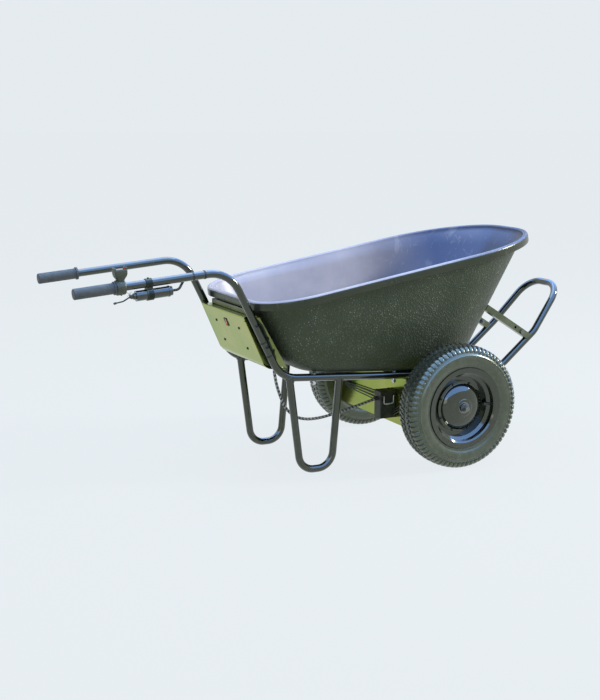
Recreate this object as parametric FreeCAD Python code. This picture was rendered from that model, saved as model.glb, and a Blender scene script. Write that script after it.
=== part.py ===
import FreeCAD, Part
import math
import os
from FreeCAD import Vector, Rotation, Placement

os.makedirs("parts", exist_ok=True)

# Power wheelbarrow. Millimetres, +X forward, +Y to the operator's left, +Z up.
# The model is drawn about the wheel axle's line (x = 0) with the ground at z = 0, and every piece is
# moved by AXLE_X when it is written, so that the origin is on the ground under the middle of the length.

# ---------------------------------------------------------------- driving dimensions
AXLE_X = 298.0           # the axle, ahead of the origin
TYRE_R = 185.5           # 3.50-8 tyre
TYRE_HALF_W = 45.0
WHEEL_Y = 290.0          # middle of each wheel from the centre plane
AXLE_Z = TYRE_R
TUBE_R = 11.1            # 22.2 mm frame tube
TUBE_WALL = 2.0
TUBE_Y = 172.0           # handle tubes and legs from the centre plane
HOOP_Y = 109.0           # hoop tubes under the tub
GRIP_END = (-1127.0, 570.0)
UPPER_BEND = (-686.0, 609.0)
LOWER_BEND = (-528.0, 293.0)
UPPER_BEND_R = 95.0
LOWER_BEND_R = 85.0
RAIL_SLOPE = -0.0655     # the rails under the tub fall towards the front
RAIL_FRONT_X = 62.0
RIM_Z = 618.6            # tub rim plane at the axle
RIM_SLOPE = 0.167
SHEET = 1.5
GAP = 0.3                # clearance between pieces that only lie against each other


def rail_z(x):
    """Height of the middle of the rails that carry the tub."""
    return LOWER_BEND[1] + RAIL_SLOPE * (x - LOWER_BEND[0])


# ---------------------------------------------------------------- helpers
def write(name, shape):
    """Move a finished piece into the part's frame and save it as one STEP file."""
    piece = shape.copy()
    piece.translate(Vector(AXLE_X, 0, 0))
    bad = [s for s in piece.Solids if not s.isValid()]
    print(name, "solids", len(piece.Solids), "bad", len(bad), "volume", round(piece.Volume / 1000.0, 1))
    piece.exportStep("parts/" + name + ".step")


def both_sides(name, shape_right):
    """Save a right-hand piece and its mirror image."""
    write(name + "_right", shape_right)
    write(name + "_left", mirrored(shape_right))


def mirrored(shape):
    return shape.mirror(Vector(0, 0, 0), Vector(0, 1, 0))


def group(shapes):
    return Part.makeCompound(shapes)


def fused(shapes):
    """Join touching solids into one."""
    body = shapes[0]
    for other in shapes[1:]:
        body = body.fuse(other)
    return body.removeSplitter()


def route(points, radii):
    """A wire of straight runs through the points, with a tangent arc of the given radius at each corner."""
    edges = []
    start = points[0]
    for i in range(1, len(points) - 1):
        corner = points[i]
        into = (corner - points[i - 1]).normalize()
        out = (points[i + 1] - corner).normalize()
        half_turn = into.getAngle(out) / 2.0
        radius = radii[i - 1]
        setback = radius * math.tan(half_turn)
        arc_start = corner - into * setback
        arc_end = corner + out * setback
        centre = corner + (out - into).normalize() * (radius / math.cos(half_turn))
        arc_middle = centre + (corner - centre).normalize() * radius
        if (arc_start - start).Length > 0.01:
            edges.append(Part.makeLine(start, arc_start))
        edges.append(Part.Arc(arc_start, arc_middle, arc_end).toShape())
        start = arc_end
    edges.append(Part.makeLine(start, points[-1]))
    return Part.Wire(edges)


def pipe(wire, radius):
    """A round bar along a wire."""
    first = wire.Edges[0]
    begin = first.valueAt(first.FirstParameter)
    direction = first.tangentAt(first.FirstParameter)
    ring = Part.Wire([Part.makeCircle(radius, begin, direction)])
    return wire.makePipeShell([ring], True, False)


def tube(points, radii, radius=TUBE_R, wall=TUBE_WALL):
    wire = route(points, radii)
    return pipe(wire, radius).cut(pipe(wire, radius - wall))


def box(x0, x1, y0, y1, z0, z1):
    return Part.makeBox(x1 - x0, y1 - y0, z1 - z0, Vector(x0, y0, z0))


def rod(start, end, radius):
    axis = end - start
    return Part.makeCylinder(radius, axis.Length, start, axis)


def plate_xz(corners, y0, y1):
    """A flat plate with the given outline in X and Z, from y0 to y1."""
    points = [Vector(x, y0, z) for x, z in corners]
    face = Part.Face(Part.makePolygon(points + [points[0]]))
    return face.extrude(Vector(0, y1 - y0, 0))


def folded_sheet(path, radii, thickness, y0, y1):
    """A folded sheet: one face follows the path in X and Z, and the metal lies on the path's left
    (on its right for a negative thickness)."""
    runs = [Vector(q[0] - p[0], 0, q[1] - p[1]).normalize() for p, q in zip(path, path[1:])]
    lefts = [Vector(-run.z, 0, run.x) for run in runs]
    other = []
    other_radii = []
    for i, (x, z) in enumerate(path):
        before = lefts[max(i - 1, 0)]
        after = lefts[min(i, len(lefts) - 1)]
        other.append(Vector(x, y0, z) + (before + after) * (thickness / (1.0 + before.dot(after))))
        if 0 < i < len(path) - 1:
            turns_left = before.dot(runs[i]) > 0
            other_radii.append(radii[i - 1] + (-thickness if turns_left else thickness))
    face_wire = route([Vector(x, y0, z) for x, z in path], radii)
    back_wire = route(other, other_radii)
    ends = [Part.makeLine(Vector(path[0][0], y0, path[0][1]), other[0]),
            Part.makeLine(Vector(path[-1][0], y0, path[-1][1]), other[-1])]
    loop = Part.Wire(Part.__sortEdges__(face_wire.Edges + back_wire.Edges + ends))
    return Part.Face(loop).extrude(Vector(0, y1 - y0, 0))


def spun(profile):
    """A ring about the Y axis. The profile lists (radius, outboard) points; an item of four numbers is an
    arc, given by its middle and its end."""
    edges = []
    here = Vector(profile[0][0], -profile[0][1], 0)
    first = here
    for item in profile[1:]:
        if len(item) == 4:
            middle = Vector(item[0], -item[1], 0)
            there = Vector(item[2], -item[3], 0)
            edges.append(Part.Arc(here, middle, there).toShape())
        else:
            there = Vector(item[0], -item[1], 0)
            edges.append(Part.makeLine(here, there))
        here = there
    edges.append(Part.makeLine(here, first))
    face = Part.Face(Part.Wire(edges))
    ring = face.revolve(Vector(0, 0, 0), Vector(0, 1, 0), 360)
    return ring


def hexagon(across_flats, height, centre, axis):
    """A hexagonal prism that starts at the centre point and runs along the axis."""
    corner_r = across_flats / math.sqrt(3.0)
    points = []
    for i in range(7):
        turn = math.radians(60.0 * i)
        points.append(Vector(corner_r * math.cos(turn), corner_r * math.sin(turn), 0))
    prism = Part.Face(Part.makePolygon(points)).extrude(Vector(0, 0, height))
    prism.Placement = Placement(centre, Rotation(Vector(0, 0, 1), axis))
    return prism


def dome_head(radius, height, centre, axis):
    """A low button head whose flat side is at the centre point."""
    ball_r = (radius ** 2 + height ** 2) / (2.0 * height)
    ball = Part.makeSphere(ball_r, Vector(0, 0, height - ball_r))
    head = ball.common(Part.makeCylinder(radius + 1.0, height, Vector(0, 0, 0)))
    head.Placement = Placement(centre, Rotation(Vector(0, 0, 1), axis))
    return head


def at_wheel(shape):
    """Carry a piece drawn about the origin to the right-hand wheel."""
    piece = shape.copy()
    piece.translate(Vector(0, -WHEEL_Y, AXLE_Z))
    return piece


# ---------------------------------------------------------------- frame tubes, plugs and legs
def frame_path(y):
    points = [Vector(GRIP_END[0], y, GRIP_END[1]),
              Vector(UPPER_BEND[0], y, UPPER_BEND[1]),
              Vector(LOWER_BEND[0], y, LOWER_BEND[1]),
              Vector(RAIL_FRONT_X, y, rail_z(RAIL_FRONT_X))]
    return points, [UPPER_BEND_R, LOWER_BEND_R]


frame_points, frame_radii = frame_path(-TUBE_Y)
frame_bar = pipe(route(frame_points, frame_radii), TUBE_R)
frame_tube = tube(frame_points, frame_radii)

RAIL_AXIS = Vector(1, 0, RAIL_SLOPE).normalize()
rail_end = frame_points[-1]
tube_plug = fused([rod(rail_end - RAIL_AXIS * 12.0, rail_end, TUBE_R - TUBE_WALL - 0.05),
                   rod(rail_end, rail_end + RAIL_AXIS * 3.0, TUBE_R - 0.4)])

LEG_REAR = (-500.0, 290.0)
LEG_FRONT = (-337.0, 282.0)
LEG_FOOT_REAR = (-462.0, TUBE_R)
LEG_FOOT_FRONT = (-360.0, TUBE_R)
LEG_BEND_R = 49.0
leg_corners = [LEG_REAR, LEG_FOOT_REAR, LEG_FOOT_FRONT, LEG_FRONT]
leg_points = [Vector(x, -TUBE_Y, z) for x, z in leg_corners]
leg = tube(leg_points, [LEG_BEND_R, LEG_BEND_R]).cut(frame_bar)
leg = max(leg.Solids, key=lambda s: s.Volume)

# ---------------------------------------------------------------- front hoop and its braces
HOOP_REAR_X = -122.0
HOOP_FRONT_BEND_X = 273.0
HOOP_KNEE = (408.0, 352.0)
HOOP_KNEE_Y = 108.0
HOOP_TOP = (525.0, 491.0)
HOOP_TOP_Y = 80.0
hoop_half = [Vector(HOOP_REAR_X, -HOOP_Y, rail_z(HOOP_REAR_X)),
             Vector(HOOP_FRONT_BEND_X, -HOOP_Y, rail_z(HOOP_FRONT_BEND_X)),
             Vector(HOOP_KNEE[0], -HOOP_KNEE_Y, HOOP_KNEE[1]),
             Vector(HOOP_TOP[0], -HOOP_TOP_Y, HOOP_TOP[1])]
hoop_points = hoop_half + [Vector(p.x, -p.y, p.z) for p in reversed(hoop_half)]
hoop_radii = [90.0, 90.0, 72.0, 72.0, 90.0, 90.0]
hoop_bar = pipe(route(hoop_points, hoop_radii), TUBE_R)
front_hoop = tube(hoop_points, hoop_radii)

BRACE_SIDE = 20.0
BRACE_WALL = 1.6
BRACE_START = Vector(388.0, -HOOP_Y, 333.0)
BRACE_END = Vector(215.0, -HOOP_Y, 441.0)
brace_axis = (BRACE_END - BRACE_START).normalize()
brace_length = (BRACE_END - BRACE_START).Length


def on_brace(distance, sideways=0.0):
    return BRACE_START + brace_axis * distance + Vector(0, sideways, 0)


def brace_bar(side):
    bar = Part.makeBox(side, side, brace_length, Vector(-side / 2.0, -side / 2.0, 0))
    lie = math.degrees(math.atan2(brace_axis.x, brace_axis.z))
    bar.Placement = Placement(BRACE_START, Rotation(Vector(0, 1, 0), lie))
    return bar


BRACE_BOLT_AT = 42.0
BRACE_HOLE_AT = 72.0
brace = brace_bar(BRACE_SIDE).cut(brace_bar(BRACE_SIDE - 2 * BRACE_WALL)).cut(hoop_bar)
brace = max(brace.Solids, key=lambda s: s.Volume)
for hole_at in (BRACE_BOLT_AT, BRACE_HOLE_AT):
    brace = brace.cut(rod(on_brace(hole_at, -BRACE_SIDE), on_brace(hole_at, BRACE_SIDE), 4.2))

# ---------------------------------------------------------------- tub
WALL = 4.0
LIP_OUT = 13.0
LIP_DEEP = 25.0
RIM_TILT = -math.degrees(math.atan(RIM_SLOPE))
FLOOR_TILT = -math.degrees(math.atan(RAIL_SLOPE))
FLOOR_Z = rail_z(0.0) + TUBE_R / math.cos(math.radians(FLOOR_TILT)) + 0.1


class Section:
    """A tub outline: straight back, elliptical corners, straight sides and a blunt elliptical nose."""

    def __init__(self, rear, front, half_w, rear_corner, nose_corner):
        self.rear = rear
        self.front = front
        self.half_w = half_w
        self.rear_corner = rear_corner
        self.nose_corner = nose_corner

    def grown(self, by):
        rear_corner = (self.rear_corner[0] + by, self.rear_corner[1] + by)
        nose_corner = (self.nose_corner[0] + by, self.nose_corner[1] + by)
        return Section(self.rear - by, self.front + by, self.half_w + by, rear_corner, nose_corner)

    def wire(self, height, tilt, rise=0.0):
        """The closed outline on a plane that crosses x = 0 at the given height."""
        ra, rb = self.rear_corner
        na, nb = self.nose_corner
        rear_y = self.half_w - rb
        nose_y = self.half_w - nb
        side_rear_x = self.rear + ra
        side_front_x = self.front - na
        quarter = math.pi / 2.0

        def bend(centre_x, centre_y, a, b, from_turn):
            def place(turn):
                return Vector(centre_x + a * math.cos(turn), centre_y + b * math.sin(turn), 0)
            steps = [place(from_turn + quarter * i / 8.0) for i in range(9)]
            curve = Part.BSplineCurve()
            curve.interpolate(steps)
            return curve.toShape()

        line = Part.makeLine
        edges = [line(Vector(side_rear_x, -self.half_w, 0), Vector(side_front_x, -self.half_w, 0)),
                 bend(side_front_x, -nose_y, na, nb, -quarter),
                 line(Vector(self.front, -nose_y, 0), Vector(self.front, nose_y, 0)),
                 bend(side_front_x, nose_y, na, nb, 0.0),
                 line(Vector(side_front_x, self.half_w, 0), Vector(side_rear_x, self.half_w, 0)),
                 bend(side_rear_x, rear_y, ra, rb, quarter),
                 line(Vector(self.rear, rear_y, 0), Vector(self.rear, -rear_y, 0)),
                 bend(side_rear_x, -rear_y, ra, rb, 2.0 * quarter)]
        loop = Part.Wire(edges)
        turn = Rotation(Vector(0, 1, 0), tilt)
        loop.Placement = Placement(Vector(0, 0, height) + turn.multVec(Vector(0, 0, rise)), turn)
        return loop


top = Section(-610.0, 366.0, 262.0, (150.0, 120.0), (300.0, 225.0))
knee = Section(-499.0, 139.0, 208.0, (85.0, 75.0), (190.0, 160.0))
floor = Section(-472.0, 114.0, 193.0, (66.0, 60.0), (170.0, 146.0))
KNEE_RISE = 26.0

outer_shell = Part.makeLoft([floor.wire(FLOOR_Z, FLOOR_TILT), knee.wire(FLOOR_Z, FLOOR_TILT, KNEE_RISE),
                             top.wire(RIM_Z, RIM_TILT)], True, True)
hollow = Part.makeLoft([floor.grown(-WALL / 2).wire(FLOOR_Z, FLOOR_TILT, WALL),
                        knee.grown(-WALL).wire(FLOOR_Z, FLOOR_TILT, KNEE_RISE + WALL / 2),
                        top.grown(-WALL).wire(RIM_Z, RIM_TILT), top.grown(-WALL).wire(RIM_Z, RIM_TILT, 12.0)],
                       True, True)
rim_up = Rotation(Vector(0, 1, 0), RIM_TILT).multVec(Vector(0, 0, 1))


def rim_slab(outside, rise, depth):
    """A slab with the rim's outline, from the rise downwards."""
    return Part.Face(top.grown(outside).wire(RIM_Z, RIM_TILT, rise)).extrude(rim_up * -depth)


lip = rim_slab(LIP_OUT, 0.0, LIP_DEEP).cut(rim_slab(LIP_OUT - 3.0, -WALL, LIP_DEEP))
tub = lip.fuse(outer_shell).cut(hollow)

TUB_BOLTS = [(x, s * TUBE_Y) for x in (-420.0, -150.0) for s in (-1, 1)]
FLOOR_UP = Rotation(Vector(0, 1, 0), FLOOR_TILT).multVec(Vector(0, 0, 1))


def floor_point(x, y, above=0.0):
    """A point on the floor's inner face."""
    return Vector(x, y, FLOOR_Z + RAIL_SLOPE * x) + FLOOR_UP * (WALL + above)


BOLT_R = 4.0
HEAD_R = 8.0
HEAD_DEEP = 3.6
tub_bolts = []
for x, y in TUB_BOLTS:
    sink = Part.makeCone(BOLT_R + 0.2, HEAD_R + 0.2, HEAD_DEEP)
    sink.Placement = Placement(floor_point(x, y, -HEAD_DEEP), Rotation(Vector(0, 0, 1), FLOOR_UP))
    tub = tub.cut(rod(floor_point(x, y, -20.0), floor_point(x, y, 20.0), BOLT_R + 0.2)).cut(sink)
    head = Part.makeCone(BOLT_R, HEAD_R, HEAD_DEEP)
    head.Placement = Placement(floor_point(x, y, -HEAD_DEEP - 0.1), Rotation(Vector(0, 0, 1), FLOOR_UP))
    shank = rod(floor_point(x, y, -WALL - 34.0), floor_point(x, y, -HEAD_DEEP), BOLT_R)
    nut = hexagon(13.0, 6.5, floor_point(x, y, -WALL - 24.5), FLOOR_UP * -1.0)
    tub_bolts.append(fused([shank, head, nut]))

for x, y in TUB_BOLTS:
    if y < 0:
        frame_tube = frame_tube.cut(rod(floor_point(x, y, -60.0), floor_point(x, y, 20.0), 4.2))
brace = brace.cut(outer_shell)
brace = max(brace.Solids, key=lambda s: s.Volume)
brace_bolts = []
for side in (-1.0, 1.0):
    away = Vector(0, side, 0)
    outside = on_brace(BRACE_BOLT_AT)
    outside.y = side * (HOOP_Y + BRACE_SIDE / 2.0 + 0.1)
    inside = Vector(outside.x, side * (HOOP_Y - BRACE_SIDE / 2.0 - 9.0), outside.z)
    head = hexagon(13.0, 5.3, outside, away)
    nut_at = Vector(outside.x, side * (HOOP_Y - BRACE_SIDE / 2.0 - 0.1), outside.z)
    brace_bolts.append(fused([rod(inside, outside, 4.0), head, hexagon(13.0, 6.5, nut_at, away * -1.0)]))

# ---------------------------------------------------------------- axle carrier and axle plates
CARRIER_REAR_X = -105.0
CARRIER_FRONT_X = 76.0
CARRIER_SHEET = 3.0
CARRIER_HALF_Y = 236.0
CARRIER_LOW_Z = 101.0
PLATE_T = 5.0


def under_rail(x):
    return rail_z(x) - TUBE_R / math.cos(math.radians(FLOOR_TILT)) - 0.1


carrier_path = [(CARRIER_REAR_X, CARRIER_LOW_Z), (CARRIER_REAR_X, under_rail(CARRIER_REAR_X)),
                (CARRIER_FRONT_X, under_rail(CARRIER_FRONT_X)), (CARRIER_FRONT_X, 206.0)]
carrier = folded_sheet(carrier_path, [6.0, 6.0], -CARRIER_SHEET, -CARRIER_HALF_Y, CARRIER_HALF_Y)
plate_gap = CARRIER_SHEET + 0.05
axle_plate_outline = [(CARRIER_REAR_X + plate_gap, CARRIER_LOW_Z + 4.0), (-70.0, CARRIER_LOW_Z + 4.0),
                      (34.0, 152.0), (CARRIER_FRONT_X - plate_gap, 206.0),
                      (CARRIER_FRONT_X - plate_gap, under_rail(CARRIER_FRONT_X) - 7.0),
                      (CARRIER_FRONT_X - 9.0, under_rail(CARRIER_FRONT_X) - plate_gap),
                      (CARRIER_REAR_X + 9.0, under_rail(CARRIER_REAR_X) - plate_gap - 0.6),
                      (CARRIER_REAR_X + plate_gap, under_rail(CARRIER_REAR_X) - 9.0)]
axle_plate = plate_xz(axle_plate_outline, -CARRIER_HALF_Y, -CARRIER_HALF_Y + PLATE_T)

AXLE_R = 7.5
AXLE_FLAT = 5.0
GROMMET_Y = 200.0
GROMMET_Z = 172.0
GROMMET_R = 9.0
for side in (-1, 1):
    carrier = carrier.cut(rod(Vector(CARRIER_REAR_X - 5, side * GROMMET_Y, GROMMET_Z),
                              Vector(CARRIER_REAR_X + 8, side * GROMMET_Y, GROMMET_Z), GROMMET_R))
    carrier = carrier.cut(rod(Vector(0, side * 150.0, 225.0), Vector(0, side * 150.0, 265.0), 12.0))

# bolts through the hoop tubes, the rails and the carrier's top
FRAME_BOLTS = [(-92.0, HOOP_Y), (40.0, HOOP_Y), (25.0, TUBE_Y)]
frame_bolts = []
for x, y_off in FRAME_BOLTS:
    for side in (-1, 1):
        y = side * y_off
        top_at = Vector(x, y, rail_z(x)) + FLOOR_UP * (TUBE_R - 4.0)
        low_at = Vector(x, y, rail_z(x)) - FLOOR_UP * (TUBE_R + 0.1 + CARRIER_SHEET + 0.1)
        bore = rod(low_at - FLOOR_UP * 12.0, top_at + FLOOR_UP * 0.05, 4.2)
        carrier = carrier.cut(bore)
        if y_off == HOOP_Y:
            front_hoop = front_hoop.cut(bore)
        elif side < 0:
            frame_tube = frame_tube.cut(bore)
        shank = rod(low_at - FLOOR_UP * 10.0, top_at, 4.0)
        nut = hexagon(13.0, 6.5, low_at, FLOOR_UP * -1.0)
        frame_bolts.append(fused([shank, nut]))

# ---------------------------------------------------------------- battery compartment
PANEL_TOP = (-637.0, 473.0)
PANEL_LOW = (-568.0, 319.0)
PANEL_FOOT = (-502.0, 312.0)
PANEL_FLANGE_X = -592.0
PANEL_HALF_Y = 155.0
panel_down = Vector(PANEL_LOW[0] - PANEL_TOP[0], 0, PANEL_LOW[1] - PANEL_TOP[1]).normalize()
panel_out = Vector(panel_down.z, 0, -panel_down.x)


def on_panel(down, y, out=0.0):
    """A point on the panel's outer face, measured down from its top fold."""
    return Vector(PANEL_TOP[0], y, PANEL_TOP[1]) + panel_down * down + panel_out * out


panel_path = [(PANEL_FLANGE_X, PANEL_TOP[1]), PANEL_TOP, PANEL_LOW, PANEL_FOOT]
rear_panel = folded_sheet(panel_path, [3.0, 38.0], SHEET, -PANEL_HALF_Y, PANEL_HALF_Y)
for side in (-1, 1):
    corner_y0 = min(side * 147.0, side * 160.0)
    rear_panel = rear_panel.cut(box(-632.0, -580.0, corner_y0, corner_y0 + 13.0, 460.0, 480.0))
    foot_y0 = min(side * 150.0, side * 160.0)
    rear_panel = rear_panel.cut(box(-574.0, -490.0, foot_y0, foot_y0 + 10.0, 300.0, 338.0))

TRAY_TOP = (-585.0, 469.0)
TRAY_LOW = (-497.0, 316.0)
TRAY_HALF_Y = 150.0
tray_wall = folded_sheet([TRAY_TOP, TRAY_LOW], [], -SHEET, -TRAY_HALF_Y, TRAY_HALF_Y)
side_outline = [(-584.0, 468.5), (-498.0, 319.0), (-541.0, 322.0), (-565.0, 330.5),
                (-574.0, 341.0), (-629.5, 464.0), (-629.5, 468.5)]
tray_side = plate_xz(side_outline, -TRAY_HALF_Y, -TRAY_HALF_Y + SHEET)
for slot_z in (360.0, 395.0, 430.0):
    slot_x = -560.0 - (slot_z - 395.0) * 0.5
    tray_side = tray_side.cut(box(slot_x - 4.0, slot_x + 6.0, -160.0, -140.0, slot_z, slot_z + 14.0))
battery_tray = fused([tray_wall, tray_side, mirrored(tray_side)])

tray_down = Vector(TRAY_LOW[0] - TRAY_TOP[0], 0, TRAY_LOW[1] - TRAY_TOP[1]).normalize()
tray_in = Vector(tray_down.z, 0, -tray_down.x)


def on_tray(down, y, inwards=0.0):
    """A point on the tray's inner face, towards the panel."""
    return Vector(TRAY_TOP[0], y, TRAY_TOP[1]) + tray_down * down + tray_in * (SHEET + inwards)


def tray_block(down0, down1, y0, y1, in0, in1):
    """A block that lies flat on the tray's inner face."""
    lie = math.degrees(math.atan2(tray_down.x, tray_down.z))
    block = Part.makeBox(in1 - in0, y1 - y0, down1 - down0)
    block.Placement = Placement(on_tray(down0, y0, in0), Rotation(Vector(0, 1, 0), lie))
    return block


BATTERY_DOWN = (22.0, 132.0)
BATTERY_T = 34.0
battery_pack = tray_block(BATTERY_DOWN[0], BATTERY_DOWN[1], -128.0, 128.0, GAP, BATTERY_T)
battery_pack = battery_pack.makeFillet(4.0, battery_pack.Edges)
STRAP_T = 1.5


def strap(y0, y1):
    """A steel strap over the battery, with an ear at each end that lies on the tray."""
    low, high = BATTERY_DOWN
    hoop = tray_block(low - GAP - STRAP_T, high + GAP + STRAP_T, y0, y1, 0.05, BATTERY_T + GAP + STRAP_T)
    ears = tray_block(low - 14.0, high + 14.0, y0, y1, 0.05, STRAP_T + 0.05)
    battery_space = tray_block(low - GAP, high + GAP, y0 - 1.0, y1 + 1.0, 0.0, BATTERY_T + GAP)
    return hoop.fuse(ears).cut(battery_space).removeSplitter()


battery_straps = group([strap(-84.0, -66.0), strap(66.0, 84.0)])

SCREW_DOWN = (47.0, 114.0)
SCREW_Y = 82.0
SWITCH_DOWN = 40.0
SWITCH_HALF = (7.0, 10.5)


def panel_block(down0, down1, y0, y1, out0, out1):
    """A block set square to the panel."""
    lie = math.degrees(math.atan2(panel_down.x, panel_down.z))
    block = Part.makeBox(out1 - out0, y1 - y0, down1 - down0)
    block.Placement = Placement(on_panel(down0, y0, out0), Rotation(Vector(0, 1, 0), lie))
    return block


panel_screws = []
for down in SCREW_DOWN:
    for y in (-SCREW_Y, SCREW_Y):
        rear_panel = rear_panel.cut(rod(on_panel(down, y, -5.0), on_panel(down, y, 5.0), 2.6))
        shank = rod(on_panel(down, y, -7.0), on_panel(down, y, 0.1), 2.5)
        head = dome_head(4.8, 2.8, on_panel(down, y, 0.05), panel_out)
        panel_screws.append(shank.fuse(head).removeSplitter())

# power switch: body in the panel, rocker on a pin line along Y
w, h = SWITCH_HALF
rear_panel = rear_panel.cut(panel_block(SWITCH_DOWN - h - 0.1, SWITCH_DOWN + h + 0.1, -w - 0.1, w + 0.1, -5.0, 5.0))
switch_body = panel_block(SWITCH_DOWN - h, SWITCH_DOWN + h, -w, w, -15.0, 0.2)
switch_body = switch_body.fuse(panel_block(SWITCH_DOWN - h - 2.0, SWITCH_DOWN + h + 2.0, -w - 2.0, w + 2.0,
                                           0.05, 2.0))
switch_body = switch_body.cut(panel_block(SWITCH_DOWN - h + 1.2, SWITCH_DOWN + h - 1.2, -w + 1.2, w - 1.2,
                                          -9.0, 4.0)).removeSplitter()
ROCKER_TILT = 8.0
rocker_pivot = on_panel(SWITCH_DOWN, 0.0, -1.5)
switch_rocker = rod(rocker_pivot + Vector(0, -w + 1.7, 0), rocker_pivot + Vector(0, w - 1.7, 0), 9.0)
switch_rocker = switch_rocker.common(panel_block(SWITCH_DOWN - 8.2, SWITCH_DOWN + 8.2, -w, w, -4.5, 3.6))
switch_rocker = switch_rocker.cut(rod(on_panel(SWITCH_DOWN, -w, 19.5), on_panel(SWITCH_DOWN, w, 19.5), 18.0))
switch_rocker.rotate(rocker_pivot, Vector(0, 1, 0), ROCKER_TILT)
print("rocker pivot", (rocker_pivot + Vector(AXLE_X, 0, 0)) * 0.001)

# bolts that hold the tray's sides to the sloping tubes
SLOPE = Vector(LOWER_BEND[0] - UPPER_BEND[0], 0, LOWER_BEND[1] - UPPER_BEND[1]).normalize()
BOX_BOLT_Z = (452.0, 388.0)
box_bolts = []
for z in BOX_BOLT_Z:
    x = LOWER_BEND[0] + SLOPE.x / SLOPE.z * (z - LOWER_BEND[1])
    bore = rod(Vector(x, -TUBE_Y - 20.0, z), Vector(x, -TRAY_HALF_Y + 5.0, z), 3.2)
    frame_tube = frame_tube.cut(bore)
    tray_bore = rod(Vector(x, -TUBE_Y, z), Vector(x, TUBE_Y, z), 3.2)
    battery_tray = battery_tray.cut(tray_bore)
    shank = rod(Vector(x, -TUBE_Y - TUBE_R - 1.0, z), Vector(x, -TRAY_HALF_Y + 6.0, z), 3.0)
    head = dome_head(5.5, 3.4, Vector(x, -TUBE_Y - TUBE_R + 0.4, z), Vector(0, -1, 0)).cut(frame_bar)
    spacer = rod(Vector(x, -TUBE_Y + TUBE_R - 0.1, z), Vector(x, -TRAY_HALF_Y - 0.05, z), 4.2)
    nut = hexagon(10.0, 5.0, Vector(x, -TRAY_HALF_Y + SHEET + 0.05, z), Vector(0, 1, 0))
    bolt = fused([shank, head, spacer.cut(frame_bar), nut])
    box_bolts += [bolt, mirrored(bolt)]

LIP_BRACKET_Y = 132.0
lip_bracket = folded_sheet([(-597.0, 473.2), (-611.0, 473.2), (-611.0, 488.0), (-598.5, 488.0)],
                           [2.5, 2.5], -SHEET, -LIP_BRACKET_Y, LIP_BRACKET_Y)

# ---------------------------------------------------------------- handle controls
# Drawn about the X axis from the grip's outer end, then laid along the right handle.
HANDLE_RUN = Vector(UPPER_BEND[0] - GRIP_END[0], 0, UPPER_BEND[1] - GRIP_END[1])
HANDLE_TILT = -math.degrees(math.atan2(HANDLE_RUN.z, HANDLE_RUN.x))
HANDLE_LENGTH = HANDLE_RUN.Length
GRIP_R = 15.0
GRIP_LENGTH = 112.0
GRIP_END_CAP = 4.0


def on_handle(shape, y=-TUBE_Y):
    piece = shape.copy()
    piece.Placement = Placement(Vector(GRIP_END[0], y, GRIP_END[1]),
                                Rotation(Vector(0, 1, 0), HANDLE_TILT)).multiply(piece.Placement)
    return piece


def handle_point(along, up=0.0, side=0.0):
    turn = Rotation(Vector(0, 1, 0), HANDLE_TILT)
    return Vector(GRIP_END[0], -TUBE_Y, GRIP_END[1]) + turn.multVec(Vector(along, side, up))


def x_rod(x0, x1, radius, y=0.0, z=0.0):
    return Part.makeCylinder(radius, x1 - x0, Vector(x0, y, z), Vector(1, 0, 0))


def grip(bore_r):
    body = x_rod(-GRIP_END_CAP, GRIP_LENGTH, GRIP_R)
    body = body.makeFillet(3.0, [e for e in body.Edges if e.BoundBox.XMax < 0 and e.BoundBox.XLength < 0.1])
    collar = x_rod(GRIP_LENGTH - 5.0, GRIP_LENGTH, GRIP_R + 3.0)
    return body.fuse(collar).cut(x_rod(-0.4, GRIP_LENGTH + 1.0, bore_r)).removeSplitter()


grip_left = on_handle(grip(TUBE_R + 0.02), TUBE_Y)
twist_grip = on_handle(grip(TUBE_R + 0.06))

HOUSING = (112.6, 138.0)
BLOCK = (110.0, 147.0)
BLOCK_TOP = 49.0
housing = x_rod(HOUSING[0], HOUSING[1], 20.0).fuse(box(BLOCK[0] + 2.6, BLOCK[1], -15.0, 15.0, 12.0, BLOCK_TOP))
housing = housing.cut(x_rod(HOUSING[0] - 1.0, BLOCK[1] + 9.0, TUBE_R + 0.02)).removeSplitter()
housing = housing.cut(box(BLOCK[0] + 8.0, BLOCK[1] - 8.0, -11.0, 11.0, BLOCK_TOP - 2.0, BLOCK_TOP + 1.0))
BUTTON_X = 141.0
BUTTON_R = 2.6
housing = housing.cut(Part.makeCylinder(BUTTON_R + 0.3, 8.0, Vector(BUTTON_X + 1.6, 0, BLOCK_TOP - 6.0)))
throttle_housing = on_handle(housing)
throttle_display = on_handle(box(BLOCK[0] + 8.2, BLOCK[1] - 8.2, -10.8, 10.8, BLOCK_TOP - 1.95, BLOCK_TOP - 0.4))
throttle_button = on_handle(Part.makeCylinder(BUTTON_R, 5.0, Vector(BUTTON_X + 1.6, 0, BLOCK_TOP - 3.0)))

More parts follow.
